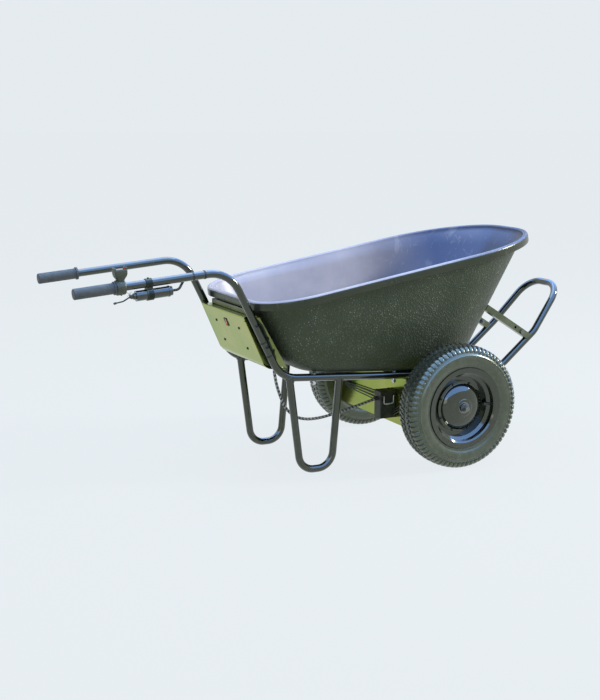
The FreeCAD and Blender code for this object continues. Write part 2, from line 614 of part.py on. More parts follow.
# switch barrel slung under the handle, with its clamp, end cap, finger lever and return spring
BARREL = (166.0, 258.0)
BARREL_R = 14.5
BARREL_DROP = 29.5
barrel = x_rod(BARREL[0], BARREL[1], BARREL_R, 0.0, -BARREL_DROP)
neck = x_rod(BARREL[0] - 7.0, BARREL[0] + 1.0, 9.0, 0.0, -BARREL_DROP)
LUG_X = BARREL[0] - 12.0
lugs = [box(LUG_X - 4.0, BARREL[0] - 6.0, y0, y0 + 2.5, -BARREL_DROP - 5.0, -BARREL_DROP + 5.0)
        for y0 in (-5.5, 3.0)]
barrel_switch = fused([barrel, neck] + lugs)
PIN_R = 1.6
barrel_switch = barrel_switch.fuse(Part.makeCylinder(PIN_R, 11.0, Vector(LUG_X, -5.5, -BARREL_DROP),
                                                     Vector(0, 1, 0))).removeSplitter()
barrel_switch = on_handle(barrel_switch)
cap = x_rod(BARREL[1] + 0.05, BARREL[1] + 11.0, BARREL_R - 1.5, 0.0, -BARREL_DROP)
ring = x_rod(BARREL[1] + 0.05, BARREL[1] + 3.5, BARREL_R + 1.0, 0.0, -BARREL_DROP)
barrel_cap = on_handle(cap.fuse(ring).removeSplitter())
CLAMP = (196.0, 214.0)
clamp = fused([x_rod(CLAMP[0], CLAMP[1], TUBE_R + 2.5), x_rod(CLAMP[0], CLAMP[1], BARREL_R + 2.5, 0.0, -BARREL_DROP),
               box(CLAMP[0], CLAMP[1], -9.0, 9.0, -BARREL_DROP, 0.0)])
clamp = clamp.cut(x_rod(CLAMP[0] - 1, CLAMP[1] + 1, TUBE_R + 0.03))
clamp = clamp.cut(x_rod(CLAMP[0] - 1, CLAMP[1] + 1, BARREL_R + 0.03, 0.0, -BARREL_DROP))
barrel_clamp = on_handle(clamp)
lever_path = [(LUG_X - 4.0, -BARREL_DROP), (LUG_X - 24.0, -BARREL_DROP - 9.0), (LUG_X - 48.0, -BARREL_DROP - 11.0)]
lever_bar = pipe(route([Vector(x, 0, z) for x, z in lever_path], [25.0]), 1.9)
lever_eye = Part.makeCylinder(4.2, 5.2, Vector(LUG_X, -2.6, -BARREL_DROP), Vector(0, 1, 0))
lever_eye = lever_eye.cut(Part.makeCylinder(PIN_R + 0.05, 8.0, Vector(LUG_X, -4.0, -BARREL_DROP), Vector(0, 1, 0)))
tip_end = Vector(lever_path[-1][0], 0, lever_path[-1][1])
tip_run = (tip_end - Vector(lever_path[-2][0], 0, lever_path[-2][1])).normalize()
lever_tip = rod(tip_end - tip_run * 5.0, tip_end + tip_run * 3.0, 3.0)
lever_tip = lever_tip.makeFillet(1.4, [e for e in lever_tip.Edges if e.Closed])
lever = fused([lever_bar.cut(Part.makeCylinder(3.0, 8.0, Vector(LUG_X, -4.0, -BARREL_DROP), Vector(0, 1, 0))),
               lever_eye, lever_tip])
finger_lever = on_handle(lever)
print("lever pivot", (handle_point(LUG_X, -BARREL_DROP) + Vector(AXLE_X, 0, 0)) * 0.001)
spring_wire = 0.7
spring_arms = [rod(Vector(LUG_X + 4.0, 7.0, -BARREL_DROP + 2.0), Vector(LUG_X - 9.0, 7.0, -BARREL_DROP + 12.0),
                   spring_wire),
               rod(Vector(LUG_X - 8.0, 9.2, -BARREL_DROP + 1.0), Vector(LUG_X + 5.0, 9.2, -BARREL_DROP + 12.0),
                   spring_wire)]
coil = Part.makeTorus(3.4, spring_wire, Vector(LUG_X, 7.0, -BARREL_DROP), Vector(0, 1, 0))
coil_two = Part.makeTorus(3.4, spring_wire, Vector(LUG_X, 9.2, -BARREL_DROP), Vector(0, 1, 0))
lever_spring = on_handle(group([coil.fuse(spring_arms[0]), coil_two.fuse(spring_arms[1])]))
control_screws = [on_handle(Part.makeCylinder(2.0, 3.0, Vector(125.0, y, -21.2)).cut(housing))
                  for y in (-6.0, 6.0)]
control_screws.append(on_handle(Part.makeCylinder(2.4, 2.4, Vector(205.0, 0.0, TUBE_R + 2.4)).cut(clamp)))

# ---------------------------------------------------------------- control box on the carrier
BOX_X = (-158.0, CARRIER_REAR_X - 0.1)
BOX_Y = (-108.0, -70.0)
BOX_Z = (120.0, 200.0)
LID_T = 5.0
control_box = box(BOX_X[0], BOX_X[1], BOX_Y[0], BOX_Y[1], BOX_Z[0], BOX_Z[1])
control_box = control_box.makeFillet(2.5, [e for e in control_box.Edges if e.BoundBox.ZLength > 20])
inside = box(BOX_X[0] + 2.5, BOX_X[1] - 2.5, BOX_Y[0] + 2.5, BOX_Y[1] - 2.5, BOX_Z[0] + 2.5, BOX_Z[1] + 1.0)
control_box = control_box.cut(inside)
control_lid = box(BOX_X[0] - 1.5, BOX_X[1], BOX_Y[0] - 1.5, BOX_Y[1] + 1.5, BOX_Z[1] + 0.1, BOX_Z[1] + LID_T)
control_lid = control_lid.makeFillet(1.5, [e for e in control_lid.Edges if e.BoundBox.ZMin > BOX_Z[1] + 1.0])
circuit_board = box(BOX_X[0] + 6.0, BOX_X[1] - 6.0, BOX_Y[0] + 15.0, BOX_Y[0] + 16.6, BOX_Z[0] + 5.0, BOX_Z[1] - 4.0)
box_screws = []
for x in (BOX_X[0] + 5.0, BOX_X[1] - 6.0):
    for y in (BOX_Y[0] + 5.0, BOX_Y[1] - 5.0):
        box_screws.append(Part.makeCylinder(2.4, 1.6, Vector(x, y, BOX_Z[1] + LID_T + 0.05)))

BAIL_Z = 190.0
BAIL_Y = BOX_Y[0] - 4.4
BAIL_X = (BOX_X[0] + 5.0, BOX_X[1] - 5.0)
BAIL_DROP = 24.0
BAIL_WIRE_R = 1.3
bail_pins = [box(x - 2.0, x + 2.0, BAIL_Y - 2.2, BOX_Y[0], BAIL_Z - 2.2, BAIL_Z + 2.2) for x in BAIL_X]
pin_bore = rod(Vector(BOX_X[0] - 5.0, BAIL_Y, BAIL_Z), Vector(BOX_X[1] + 5.0, BAIL_Y, BAIL_Z), BAIL_WIRE_R + 0.06)
control_box = fused([control_box] + [pin.cut(pin_bore) for pin in bail_pins])
bail_corners = [Vector(BAIL_X[0] - 1.6, BAIL_Y, BAIL_Z), Vector(BAIL_X[0] + 5.0, BAIL_Y, BAIL_Z),
                Vector(BAIL_X[0] + 5.0, BAIL_Y, BAIL_Z - BAIL_DROP), Vector(BAIL_X[1] - 5.0, BAIL_Y, BAIL_Z - BAIL_DROP),
                Vector(BAIL_X[1] - 5.0, BAIL_Y, BAIL_Z), Vector(BAIL_X[1] + 1.6, BAIL_Y, BAIL_Z)]
bail_wire = pipe(route(bail_corners, [2.4, 5.0, 5.0, 2.4]), BAIL_WIRE_R)
bail_sleeve = rod(Vector(BAIL_X[0] + 11.0, BAIL_Y, BAIL_Z - BAIL_DROP),
                  Vector(BAIL_X[1] - 11.0, BAIL_Y, BAIL_Z - BAIL_DROP), 3.0)
box_bail = bail_wire.fuse(bail_sleeve).removeSplitter()

# ---------------------------------------------------------------- wheels, drawn about the origin
RIM_LIP_R = 121.0
WELL_R = 91.5
tyre = spun([(104.2, 27.0), (104.2, 36.0), (110.0, 38.2), (122.5, 39.6), (145.0, 47.6, 166.0, 42.5),
             (177.0, 39.0, 182.5, 29.0), (TYRE_R, 0.0, 182.5, -29.0), (177.0, -39.0, 166.0, -42.5),
             (145.0, -47.6, 122.5, -39.6), (110.0, -38.2), (104.2, -36.0), (104.2, -27.0),
             (140.0, -40.5, 160.0, -35.0), (176.0, 0.0, 160.0, 35.0), (140.0, 40.5, 104.25, 27.0)])
rim = spun([(RIM_LIP_R, 40.4), (107.0, 38.8), (103.5, 36.3), (103.5, 23.0), (94.0, 17.0), (94.0, -17.0),
            (103.5, -23.0), (103.5, -36.3), (107.0, -38.8), (RIM_LIP_R, -40.4), (RIM_LIP_R, -43.0),
            (105.6, -41.2), (101.0, -37.9), (101.0, -21.7), (WELL_R, -15.7), (WELL_R, 15.7), (101.0, 21.7),
            (101.0, 37.9), (105.6, 41.2), (RIM_LIP_R, 43.0)])
VALVE_R = 3.9
valve_bore = Part.makeCylinder(VALVE_R + 0.3, 30.0, Vector(84.0, -19.5, 0), Vector(1, 0, 0))
rim = rim.cut(valve_bore)
inner_tube = Part.makeTorus(141.0, 27.5, Vector(0, 0, 0), Vector(0, 1, 0))
valve_stem = Part.makeCylinder(VALVE_R, 40.0, Vector(86.0, -19.5, 0), Vector(1, 0, 0))
inner_tube = inner_tube.fuse(valve_stem)
valve_cap = Part.makeCylinder(VALVE_R + 0.9, 9.0, Vector(78.0, -19.5, 0), Vector(1, 0, 0))
inner_tube = inner_tube.fuse(valve_cap).removeSplitter()

DRUM_R = 77.0
BEARING_R = 17.5
WEB = (-3.0, 3.0)
hub_shell = spun([(BEARING_R, -30.0), (BEARING_R, -19.5), (22.0, -19.5), (DRUM_R - 7.0, -19.5),
                  (DRUM_R - 7.0, 12.0), (DRUM_R, 12.0), (DRUM_R, WEB[1]), (WELL_R - 0.05, WEB[1]),
                  (WELL_R - 0.05, WEB[0]), (DRUM_R, WEB[0]), (DRUM_R, -22.0), (DRUM_R - 4.0, -26.0),
                  (24.0, -26.0), (22.0, -30.0)])
hub_cover = spun([(BEARING_R, 34.5), (BEARING_R, 23.0), (21.0, 21.0), (30.0, 24.0), (58.0, 18.5, 72.0, 12.1),
                  (DRUM_R, 12.1), (DRUM_R, 14.5), (62.0, 23.5, 33.0, 29.5), (24.0, 31.0), (24.0, 34.5)])
SCREW_RING_R = 73.4
hub_screws = []
for i in range(8):
    turn = math.radians(45.0 * i + 22.5)
    at = Vector(SCREW_RING_R * math.cos(turn), -15.4, SCREW_RING_R * math.sin(turn))
    hub_screws.append(rod(at + Vector(0, 10.0, 0), at, 1.9).fuse(dome_head(3.4, 2.2, at, Vector(0, -1, 0))))
    drill = rod(at + Vector(0, 10.2, 0), at + Vector(0, -0.5, 0), 2.0)
    hub_shell = hub_shell.cut(drill)
    hub_cover = hub_cover.cut(rod(at + Vector(0, 10.2, 0), at + Vector(0, -3.5, 0), 2.0))
    hub_cover = hub_cover.cut(rod(at, at + Vector(0, -6.0, 0), 3.6))

magnet_ring = spun([(66.0, -15.0), (69.9, -15.0), (69.9, 8.0), (66.0, 8.0)])
bearing = [(AXLE_R + 0.05, 0.0), (BEARING_R - 0.03, 0.0), (BEARING_R - 0.03, 11.0), (AXLE_R + 0.05, 11.0)]
bearings = group([spun([(r, o + start) for r, o in bearing]) for start in (-30.0, 23.2)])
STATOR_R = 65.3
stator_core = spun([(AXLE_R, -10.0), (STATOR_R, -10.0), (STATOR_R, 3.0), (AXLE_R, 3.0)])
for i in range(18):
    slot = box(34.0, 70.0, -5.0, 12.0, -2.6, 2.6)
    slot = slot.cut(box(60.0, 70.0, -5.0, 12.0, -2.6, -0.8)).cut(box(60.0, 70.0, -5.0, 12.0, 0.8, 2.6))
    slot.rotate(Vector(0, 0, 0), Vector(0, 1, 0), 20.0 * i)
    stator_core = stator_core.cut(slot)
coil_ring = spun([(38.0, 3.2), (56.0, 3.2), (56.0, 7.5), (38.0, 7.5)])
stator = group([stator_core, coil_ring])

AXLE = (-70.0, 53.0)
axle = rod(Vector(0, -AXLE[1], 0), Vector(0, -AXLE[0], 0), AXLE_R - 0.02)
flat_y = (WHEEL_Y - CARRIER_HALF_Y - 0.5, -AXLE[0] + 1.0)
for z0 in (AXLE_FLAT, -AXLE_FLAT - 6.0):
    axle = axle.cut(box(-20.0, 20.0, flat_y[0], flat_y[1], z0, z0 + 6.0))
plate_hole = rod(Vector(0, -260.0, AXLE_Z), Vector(0, -200.0, AXLE_Z), AXLE_R + 0.02)
plate_hole = plate_hole.common(box(-20.0, 20.0, -260.0, -200.0, AXLE_Z - AXLE_FLAT - 0.05, AXLE_Z + AXLE_FLAT + 0.05))
axle_plate = axle_plate.cut(plate_hole)
nut_bore = rod(Vector(0, -60.0, 0), Vector(0, 80.0, 0), AXLE_R)
outer_washer = rod(Vector(0, -36.2, 0), Vector(0, -38.2, 0), 13.5)
outer_nut = hexagon(19.0, 8.5, Vector(0, -38.25, 0), Vector(0, -1, 0))
inner_nuts = [hexagon(19.0, 8.0, Vector(0, WHEEL_Y - CARRIER_HALF_Y - 0.05, 0), Vector(0, -1, 0)),
              hexagon(19.0, 7.0, Vector(0, WHEEL_Y - CARRIER_HALF_Y + PLATE_T + 0.05, 0), Vector(0, 1, 0))]
axle_nuts = group([piece.cut(nut_bore) for piece in [outer_washer, outer_nut] + inner_nuts])

# ---------------------------------------------------------------- wiring
LOOM_R = 3.5
LOOM_Y = -156.5
LOOM_SWING = 3.0
LOOM_BREAKOUT = [handle_point(BARREL[1] + 11.2, -BARREL_DROP), handle_point(BARREL[1] + 32.0, -BARREL_DROP),
                 handle_point(BARREL[1] + 62.0, 0.0, TUBE_Y + LOOM_Y + LOOM_SWING)]
loom_corners = [UPPER_BEND, (-628.0, 495.5), (-580.0, 446.0), (-537.0, 348.0), (-541.4, 315.0)]
loom_path = LOOM_BREAKOUT + [Vector(x, LOOM_Y, z) for x, z in loom_corners]
handle_loom = pipe(route(loom_path, [18.0, 18.0, UPPER_BEND_R, 30.0, 30.0, 30.0]), LOOM_R)


def belt(r_one, r_two, spacing, thickness, width):
    """A cable tie pulled round two round bars. Its middle is at the first bar, and it lies across X."""
    def outline(extra):
        big = r_one + extra
        small = r_two + extra
        turn = math.acos((big - small) / spacing)
        points = [(big * math.cos(turn), big * math.sin(turn)),
                  (spacing + small * math.cos(turn), small * math.sin(turn)),
                  (spacing + small, 0.0),
                  (spacing + small * math.cos(turn), -small * math.sin(turn)),
                  (big * math.cos(turn), -big * math.sin(turn)), (-big, 0.0)]
        p = [Vector(0, y, z) for y, z in points]
        edges = [Part.makeLine(p[0], p[1]), Part.Arc(p[1], p[2], p[3]).toShape(),
                 Part.makeLine(p[3], p[4]), Part.Arc(p[4], p[5], p[0]).toShape()]
        return Part.Wire(edges)
    band = Part.Face(outline(thickness)).extrude(Vector(width, 0, 0))
    return band.cut(Part.Face(outline(0.05)).extrude(Vector(width, 0, 0)))


cable_ties = []
for along in (332.0, 366.0):
    gone = (along - BARREL[1] - 62.0) / (HANDLE_LENGTH - BARREL[1] - 62.0)
    tie = belt(TUBE_R, LOOM_R, TUBE_Y + LOOM_Y + LOOM_SWING * (1.0 - gone), 1.1, 4.0)
    tie.translate(Vector(along, 0, 0))
    cable_ties.append(on_handle(tie))
for z in (412.0, 372.0):
    loom_x = -580.0 + (446.0 - z) * 43.0 / 98.0
    loom_at = Vector(loom_x, LOOM_Y, z)
    tube_foot = Vector(LOWER_BEND[0], -TUBE_Y, LOWER_BEND[1])
    tube_at = tube_foot + SLOPE * (loom_at - tube_foot).dot(SLOPE)
    reach = loom_at - tube_at
    lie = Rotation(SLOPE, reach.normalize(), SLOPE.cross(reach.normalize()), "XYZ")
    tie = belt(TUBE_R, LOOM_R, (loom_at - tube_at).Length, 1.1, 4.0)
    tie.Placement = Placement(tube_at, lie)
    cable_ties.append(tie)

# the free loom from the lower bend to the control box
FREE_LOOM_R = 4.0
FREE_LOOM_POINTS = [Vector(-541.6, -156.5, 313.0), Vector(-537.0, -156.0, 286.0), Vector(-528.0, -154.0, 256.0),
                    Vector(-514.0, -150.0, 222.0), Vector(-494.0, -145.0, 189.0), Vector(-462.0, -138.0, 163.0),
                    Vector(-422.0, -131.0, 151.0), Vector(-378.0, -124.0, 149.0), Vector(-332.0, -117.0, 153.0),
                    Vector(-286.0, -110.0, 160.0), Vector(-242.0, -104.0, 167.0), Vector(-203.0, -98.0, 174.0),
                    Vector(-176.0, -94.0, 179.0), Vector(-161.5, -91.0, 182.0)]


def bend_radii(points):
    """Bend radii that use nine tenths of the shorter run beside each corner."""
    radii = []
    for i in range(1, len(points) - 1):
        into = points[i] - points[i - 1]
        out = points[i + 1] - points[i]
        half_turn = into.getAngle(out) / 2.0
        radii.append(0.45 * min(into.Length, out.Length) / math.tan(half_turn))
    return radii


free_radii = bend_radii(FREE_LOOM_POINTS)
print("free loom radii", [round(r) for r in free_radii])
hanging_loom = pipe(route(FREE_LOOM_POINTS, free_radii), FREE_LOOM_R)
print("free loom length", round(route(FREE_LOOM_POINTS, free_radii).Length))

gland_axis = (FREE_LOOM_POINTS[-2] - FREE_LOOM_POINTS[-1]).normalize()
gland_foot = FREE_LOOM_POINTS[-1] - gland_axis * 1.0
cable_glands = [rod(gland_foot, gland_foot + gland_axis * 10.0, 7.0).cut(
    rod(gland_foot - gland_axis * 5.0, gland_foot + gland_axis * 15.0, FREE_LOOM_R + 0.05))]
grommets = []
for side in (-1, 1):
    outer = rod(Vector(CARRIER_REAR_X - 2.0, side * GROMMET_Y, GROMMET_Z),
                Vector(CARRIER_REAR_X + 5.0, side * GROMMET_Y, GROMMET_Z), GROMMET_R - 0.05)
    bore = rod(Vector(CARRIER_REAR_X - 9.0, side * GROMMET_Y, GROMMET_Z),
               Vector(CARRIER_REAR_X + 9.0, side * GROMMET_Y, GROMMET_Z), 6.2)
    grommets.append(outer.cut(bore))
cable_glands = group(cable_glands + grommets)

LEAD_R = 1.9
LEAD_X = CARRIER_REAR_X - 8.0


def lead(side, row):
    """One phase lead: from the axle's inner end, back through the grommet and along the carrier."""
    near_box = BOX_Y[1] + 0.2 if side > 0 else BOX_Y[0] - 1.3
    z_box = 152.0 + 13.0 * row
    spread = 4.0 * (row - 1)
    points = [Vector(0.0, side * 217.0, AXLE_Z + spread),
              Vector(-18.0, side * GROMMET_Y, AXLE_Z + spread),
              Vector(-60.0, side * GROMMET_Y, GROMMET_Z + spread),
              Vector(LEAD_X, side * GROMMET_Y, GROMMET_Z + spread),
              Vector(LEAD_X, side * (GROMMET_Y - 35.0), GROMMET_Z - 6.0 + 7.0 * (row - 1)),
              Vector(LEAD_X, near_box, z_box)]
    if side < 0:
        points[-1].z = 128.5 + 8.0 * row
    return pipe(route(points, [10.0, 16.0, 6.5, 20.0]), LEAD_R)


motor_leads_left = [lead(1, row) for row in range(3)]
motor_leads_right = [lead(-1, row) for row in range(3)]

# ---------------------------------------------------------------- write every piece
both_sides("frame_tube", frame_tube)
write("tube_plugs", group([tube_plug, mirrored(tube_plug)]))
both_sides("leg", leg)
write("front_hoop", front_hoop)
both_sides("hoop_brace", brace)
write("axle_carrier", carrier)
write("axle_plates", group([axle_plate, mirrored(axle_plate)]))
write("frame_bolts", group(frame_bolts + brace_bolts))
write("tub", tub)
write("tub_bolts", group(tub_bolts))
write("rear_panel", rear_panel)
write("panel_screws", group(panel_screws))
write("battery_tray", battery_tray)
write("battery_pack", battery_pack)
write("battery_straps", battery_straps)
write("box_bolts", group(box_bolts))
write("lip_bracket", lip_bracket)
write("switch_body", switch_body)
write("switch_rocker", switch_rocker)
write("grip_left", grip_left)
write("twist_grip", twist_grip)
write("throttle_housing", throttle_housing)
write("throttle_display", throttle_display)
write("throttle_button", throttle_button)
write("barrel_switch", barrel_switch)
write("barrel_cap", barrel_cap)
write("barrel_clamp", barrel_clamp)
write("finger_lever", finger_lever)
write("lever_spring", lever_spring)
write("control_box", control_box)
write("control_lid", control_lid)
write("circuit_board", circuit_board)
write("small_screws", group(box_screws + control_screws))
write("box_bail", box_bail)
write("cable_glands", cable_glands)
write("handle_loom", handle_loom)
write("hanging_loom", hanging_loom)
write("cable_ties", group(cable_ties))
write("motor_leads", group(motor_leads_left + motor_leads_right))
for name, piece in (("tyre", tyre), ("rim", rim), ("inner_tube", inner_tube), ("hub_shell", hub_shell),
                    ("hub_cover", hub_cover), ("hub_screws", group(hub_screws)), ("magnet_ring", magnet_ring)):
    both_sides(name, at_wheel(piece))
for name, piece in (("stators", stator), ("axles", axle), ("bearings", bearings), ("axle_nuts", axle_nuts)):
    right_hand = at_wheel(piece)
    write(name, group([right_hand, mirrored(right_hand)]))
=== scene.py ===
import math

import bmesh
import bpy
from mathutils import Matrix, Vector


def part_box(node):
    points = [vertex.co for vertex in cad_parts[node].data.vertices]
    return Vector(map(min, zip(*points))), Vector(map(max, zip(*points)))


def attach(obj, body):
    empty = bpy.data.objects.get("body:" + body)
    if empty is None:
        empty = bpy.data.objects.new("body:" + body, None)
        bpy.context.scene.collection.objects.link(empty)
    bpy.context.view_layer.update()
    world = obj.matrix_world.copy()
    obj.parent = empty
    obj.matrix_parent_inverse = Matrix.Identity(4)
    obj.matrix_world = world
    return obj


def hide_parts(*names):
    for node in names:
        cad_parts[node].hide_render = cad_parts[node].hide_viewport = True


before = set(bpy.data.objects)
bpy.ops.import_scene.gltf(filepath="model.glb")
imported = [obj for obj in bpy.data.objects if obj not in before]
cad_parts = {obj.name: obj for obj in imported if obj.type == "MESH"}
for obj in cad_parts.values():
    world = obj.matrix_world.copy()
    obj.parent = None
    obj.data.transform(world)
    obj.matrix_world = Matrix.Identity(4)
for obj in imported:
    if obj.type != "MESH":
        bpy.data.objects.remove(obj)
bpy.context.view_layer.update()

# ---------------------------------------------------------------- camera
# A long lens, a little above the rim and off the operator's right rear corner.
CAMERA_AT = (-1.7536, -3.3010, 1.0379)
CAMERA_HEADING = -25.99
CAMERA_TILT = 79.06
CAMERA_ROLL = 0.23
camera_data = bpy.data.cameras.new("camera")
camera_data.lens = 64.07
camera_data.sensor_width = 36.0
camera_data.shift_x = 0.0267
camera_data.shift_y = 0.0047
camera = bpy.data.objects.new("camera", camera_data)
camera.matrix_world = (Matrix.Translation(CAMERA_AT)
                       @ Matrix.Rotation(math.radians(CAMERA_HEADING), 4, "Z")
                       @ Matrix.Rotation(math.radians(CAMERA_TILT), 4, "X")
                       @ Matrix.Rotation(math.radians(CAMERA_ROLL), 4, "Z"))
bpy.context.scene.collection.objects.link(camera)
bpy.context.scene.camera = camera

# ---------------------------------------------------------------- free loom to the control box
# A bundle of thin cables in a rubber jacket, about 0.48 m long, wound with a grey plastic spiral wrap.
# It comes off the right handle tube above the leg, sags, and goes into a gland on the control box.
tyre_low, tyre_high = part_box("tyre_right")
AXLE_X = (tyre_low.x + tyre_high.x) / 2
LOOM_R = 0.004
WRAP_START = 0.004
WRAP_END_GAP = 0.008
LOOM_POINTS = [(-0.5416, -0.1565, 0.313), (-0.537, -0.156, 0.286), (-0.528, -0.154, 0.256),
               (-0.514, -0.150, 0.222), (-0.494, -0.145, 0.189), (-0.462, -0.138, 0.163),
               (-0.422, -0.131, 0.151), (-0.378, -0.124, 0.149), (-0.332, -0.117, 0.153),
               (-0.286, -0.110, 0.160), (-0.242, -0.104, 0.167), (-0.203, -0.098, 0.174),
               (-0.176, -0.094, 0.179), (-0.1615, -0.091, 0.182)]


def from_axle(x, y, z):
    """A point measured from the axle's line, in the part's frame."""
    return Vector((x + AXLE_X, y, z))


def loom_curve(name, points, radius):
    """A round cable on a smooth line that the points guide."""
    data = bpy.data.curves.new(name, "CURVE")
    data.dimensions = "3D"
    data.bevel_depth = radius
    data.bevel_resolution = 5
    data.use_fill_caps = True
    data.resolution_u = 8
    spline = data.splines.new("NURBS")
    spline.points.add(len(points) - 1)
    for knot, point in zip(spline.points, points):
        knot.co = (*point, 1.0)
    spline.order_u = 3
    spline.use_endpoint_u = True
    piece = bpy.data.objects.new(name, data)
    bpy.context.scene.collection.objects.link(piece)
    return piece


def smooth_line(points):
    """The smooth line that a loom through these points follows."""
    bare = loom_curve("bare_line", points, 0.0)
    bpy.context.view_layer.update()
    mesh = bpy.data.meshes.new_from_object(bare.evaluated_get(bpy.context.evaluated_depsgraph_get()))
    line = [vertex.co.copy() for vertex in mesh.vertices]
    bpy.data.objects.remove(bare)
    bpy.data.meshes.remove(mesh)
    return line


def at_distance(line, distance):
    """Point and direction at a distance along a line."""
    for start, end in zip(line, line[1:]):
        run = (end - start).length
        if distance <= run:
            break
        distance -= run
    return start + (end - start).normalized() * distance, (end - start).normalized()


def made_mesh(name, points, faces, crease=35.0, kinds=()):
    """A mesh with outward normals, smooth except over edges sharper than the crease. Kinds gives each
    face its material's number."""
    mesh = bpy.data.meshes.new(name)
    mesh.from_pydata([tuple(p) for p in points], [], faces)
    for face, kind in zip(mesh.polygons, kinds):
        face.material_index = kind
    work = bmesh.new()
    work.from_mesh(mesh)
    bmesh.ops.remove_doubles(work, verts=work.verts, dist=0.000002)
    bmesh.ops.recalc_face_normals(work, faces=work.faces)
    for edge in work.edges:
        edge.smooth = len(edge.link_faces) == 2 and edge.calc_face_angle(0.0) < math.radians(crease)
    for face in work.faces:
        face.smooth = True
    work.to_mesh(mesh)
    work.free()
    return mesh


def piece_of(name, mesh, body, materials):
    """A finished piece that rides on a body."""
    piece = bpy.data.objects.new(name, mesh)
    bpy.context.scene.collection.objects.link(piece)
    if not isinstance(materials, (list, tuple)):
        materials = [materials]
    kinds = [face.material_index for face in mesh.polygons]
    mesh.materials.clear()
    for material in materials:
        mesh.materials.append(material)
    for face, kind in zip(mesh.polygons, kinds):
        face.material_index = kind
    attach(piece, body)
    return piece


def spiral_wrap(line, length, start, radius, pitch, width, thickness):
    """A flat ribbon wound round a line."""
    points = []
    faces = []
    side = line[1] - line[0]
    side = side.cross(Vector((0, 1, 0.3))).normalized()
    steps_a_turn = 14
    count = int((length - start) / pitch * steps_a_turn)
    for i in range(count + 1):
        middle, along = at_distance(line, start + pitch * i / steps_a_turn)
        side = (side - along * side.dot(along)).normalized()
        out = Matrix.Rotation(2 * math.pi * i / steps_a_turn, 3, along) @ side
        for reach, shift in ((0, -0.5), (thickness, -0.42), (thickness, 0.42), (0, 0.5)):
            points.append(middle + out * (radius + reach) + along * width * shift)
    for i in range(count):
        a = 4 * i
        faces += [(a + k, a + (k + 1) % 4, a + 4 + (k + 1) % 4, a + 4 + k) for k in range(4)]
    faces += [(0, 1, 2, 3), (4 * count, 4 * count + 3, 4 * count + 2, 4 * count + 1)]
    return points, faces


def effect_group(name, inputs, output):
    """An empty shared effect: a place and some numbers go in, and one number comes out."""
    tree = bpy.data.node_groups.new(name, "ShaderNodeTree")
    face = tree.interface
    face.new_socket("Vector", in_out="INPUT", socket_type="NodeSocketVector")
    for socket in inputs:
        face.new_socket(socket, in_out="INPUT", socket_type="NodeSocketFloat")
    face.new_socket(output, in_out="OUTPUT", socket_type="NodeSocketFloat")
    return tree, tree.nodes.new("NodeGroupInput"), tree.nodes.new("NodeGroupOutput")


def blotch_group():
    """Shared effect: soft blotches that change from 0 to 1 over the surface."""
    tree, inside, outside = effect_group("Blotches", ("Scale", "Low", "High"), "Value")
    noise = tree.nodes.new("ShaderNodeTexNoise")
    noise.inputs["Detail"].default_value = 5.0
    noise.inputs["Roughness"].default_value = 0.6
    ramp = tree.nodes.new("ShaderNodeMapRange")
    tree.links.new(inside.outputs["Vector"], noise.inputs["Vector"])
    tree.links.new(inside.outputs["Scale"], noise.inputs["Scale"])
    tree.links.new(noise.outputs["Fac"], ramp.inputs["Value"])
    tree.links.new(inside.outputs["Low"], ramp.inputs["From Min"])
    tree.links.new(inside.outputs["High"], ramp.inputs["From Max"])
    tree.links.new(ramp.outputs["Result"], outside.inputs["Value"])
    return tree


def dust_group():
    """Shared effect: a mask of dust that thins out with height above the ground."""
    tree, inside, outside = effect_group("Ground_Dust", ("Top", "Amount"), "Mask")
    split = tree.nodes.new("ShaderNodeSeparateXYZ")
    fade = tree.nodes.new("ShaderNodeMapRange")
    fade.inputs["From Max"].default_value = 0.0
    noise = tree.nodes.new("ShaderNodeTexNoise")
    noise.inputs["Scale"].default_value = 38.0
    noise.inputs["Detail"].default_value = 8.0
    noise.inputs["Roughness"].default_value = 0.7
    patches = tree.nodes.new("ShaderNodeMapRange")
    patches.inputs["From Min"].default_value = 0.42
    patches.inputs["From Max"].default_value = 0.72
    both = tree.nodes.new("ShaderNodeMath")
    both.operation = "MULTIPLY"
    scaled = tree.nodes.new("ShaderNodeMath")
    scaled.operation = "MULTIPLY"
    links = tree.links
    links.new(inside.outputs["Vector"], split.inputs["Vector"])
    links.new(inside.outputs["Vector"], noise.inputs["Vector"])
    links.new(split.outputs["Z"], fade.inputs["Value"])
    links.new(inside.outputs["Top"], fade.inputs["From Min"])
    links.new(noise.outputs["Fac"], patches.inputs["Value"])
    links.new(fade.outputs["Result"], both.inputs[0])
    links.new(patches.outputs["Result"], both.inputs[1])
    links.new(both.outputs["Value"], scaled.inputs[0])
    links.new(inside.outputs["Amount"], scaled.inputs[1])
    links.new(scaled.outputs["Value"], outside.inputs["Mask"])
    return tree


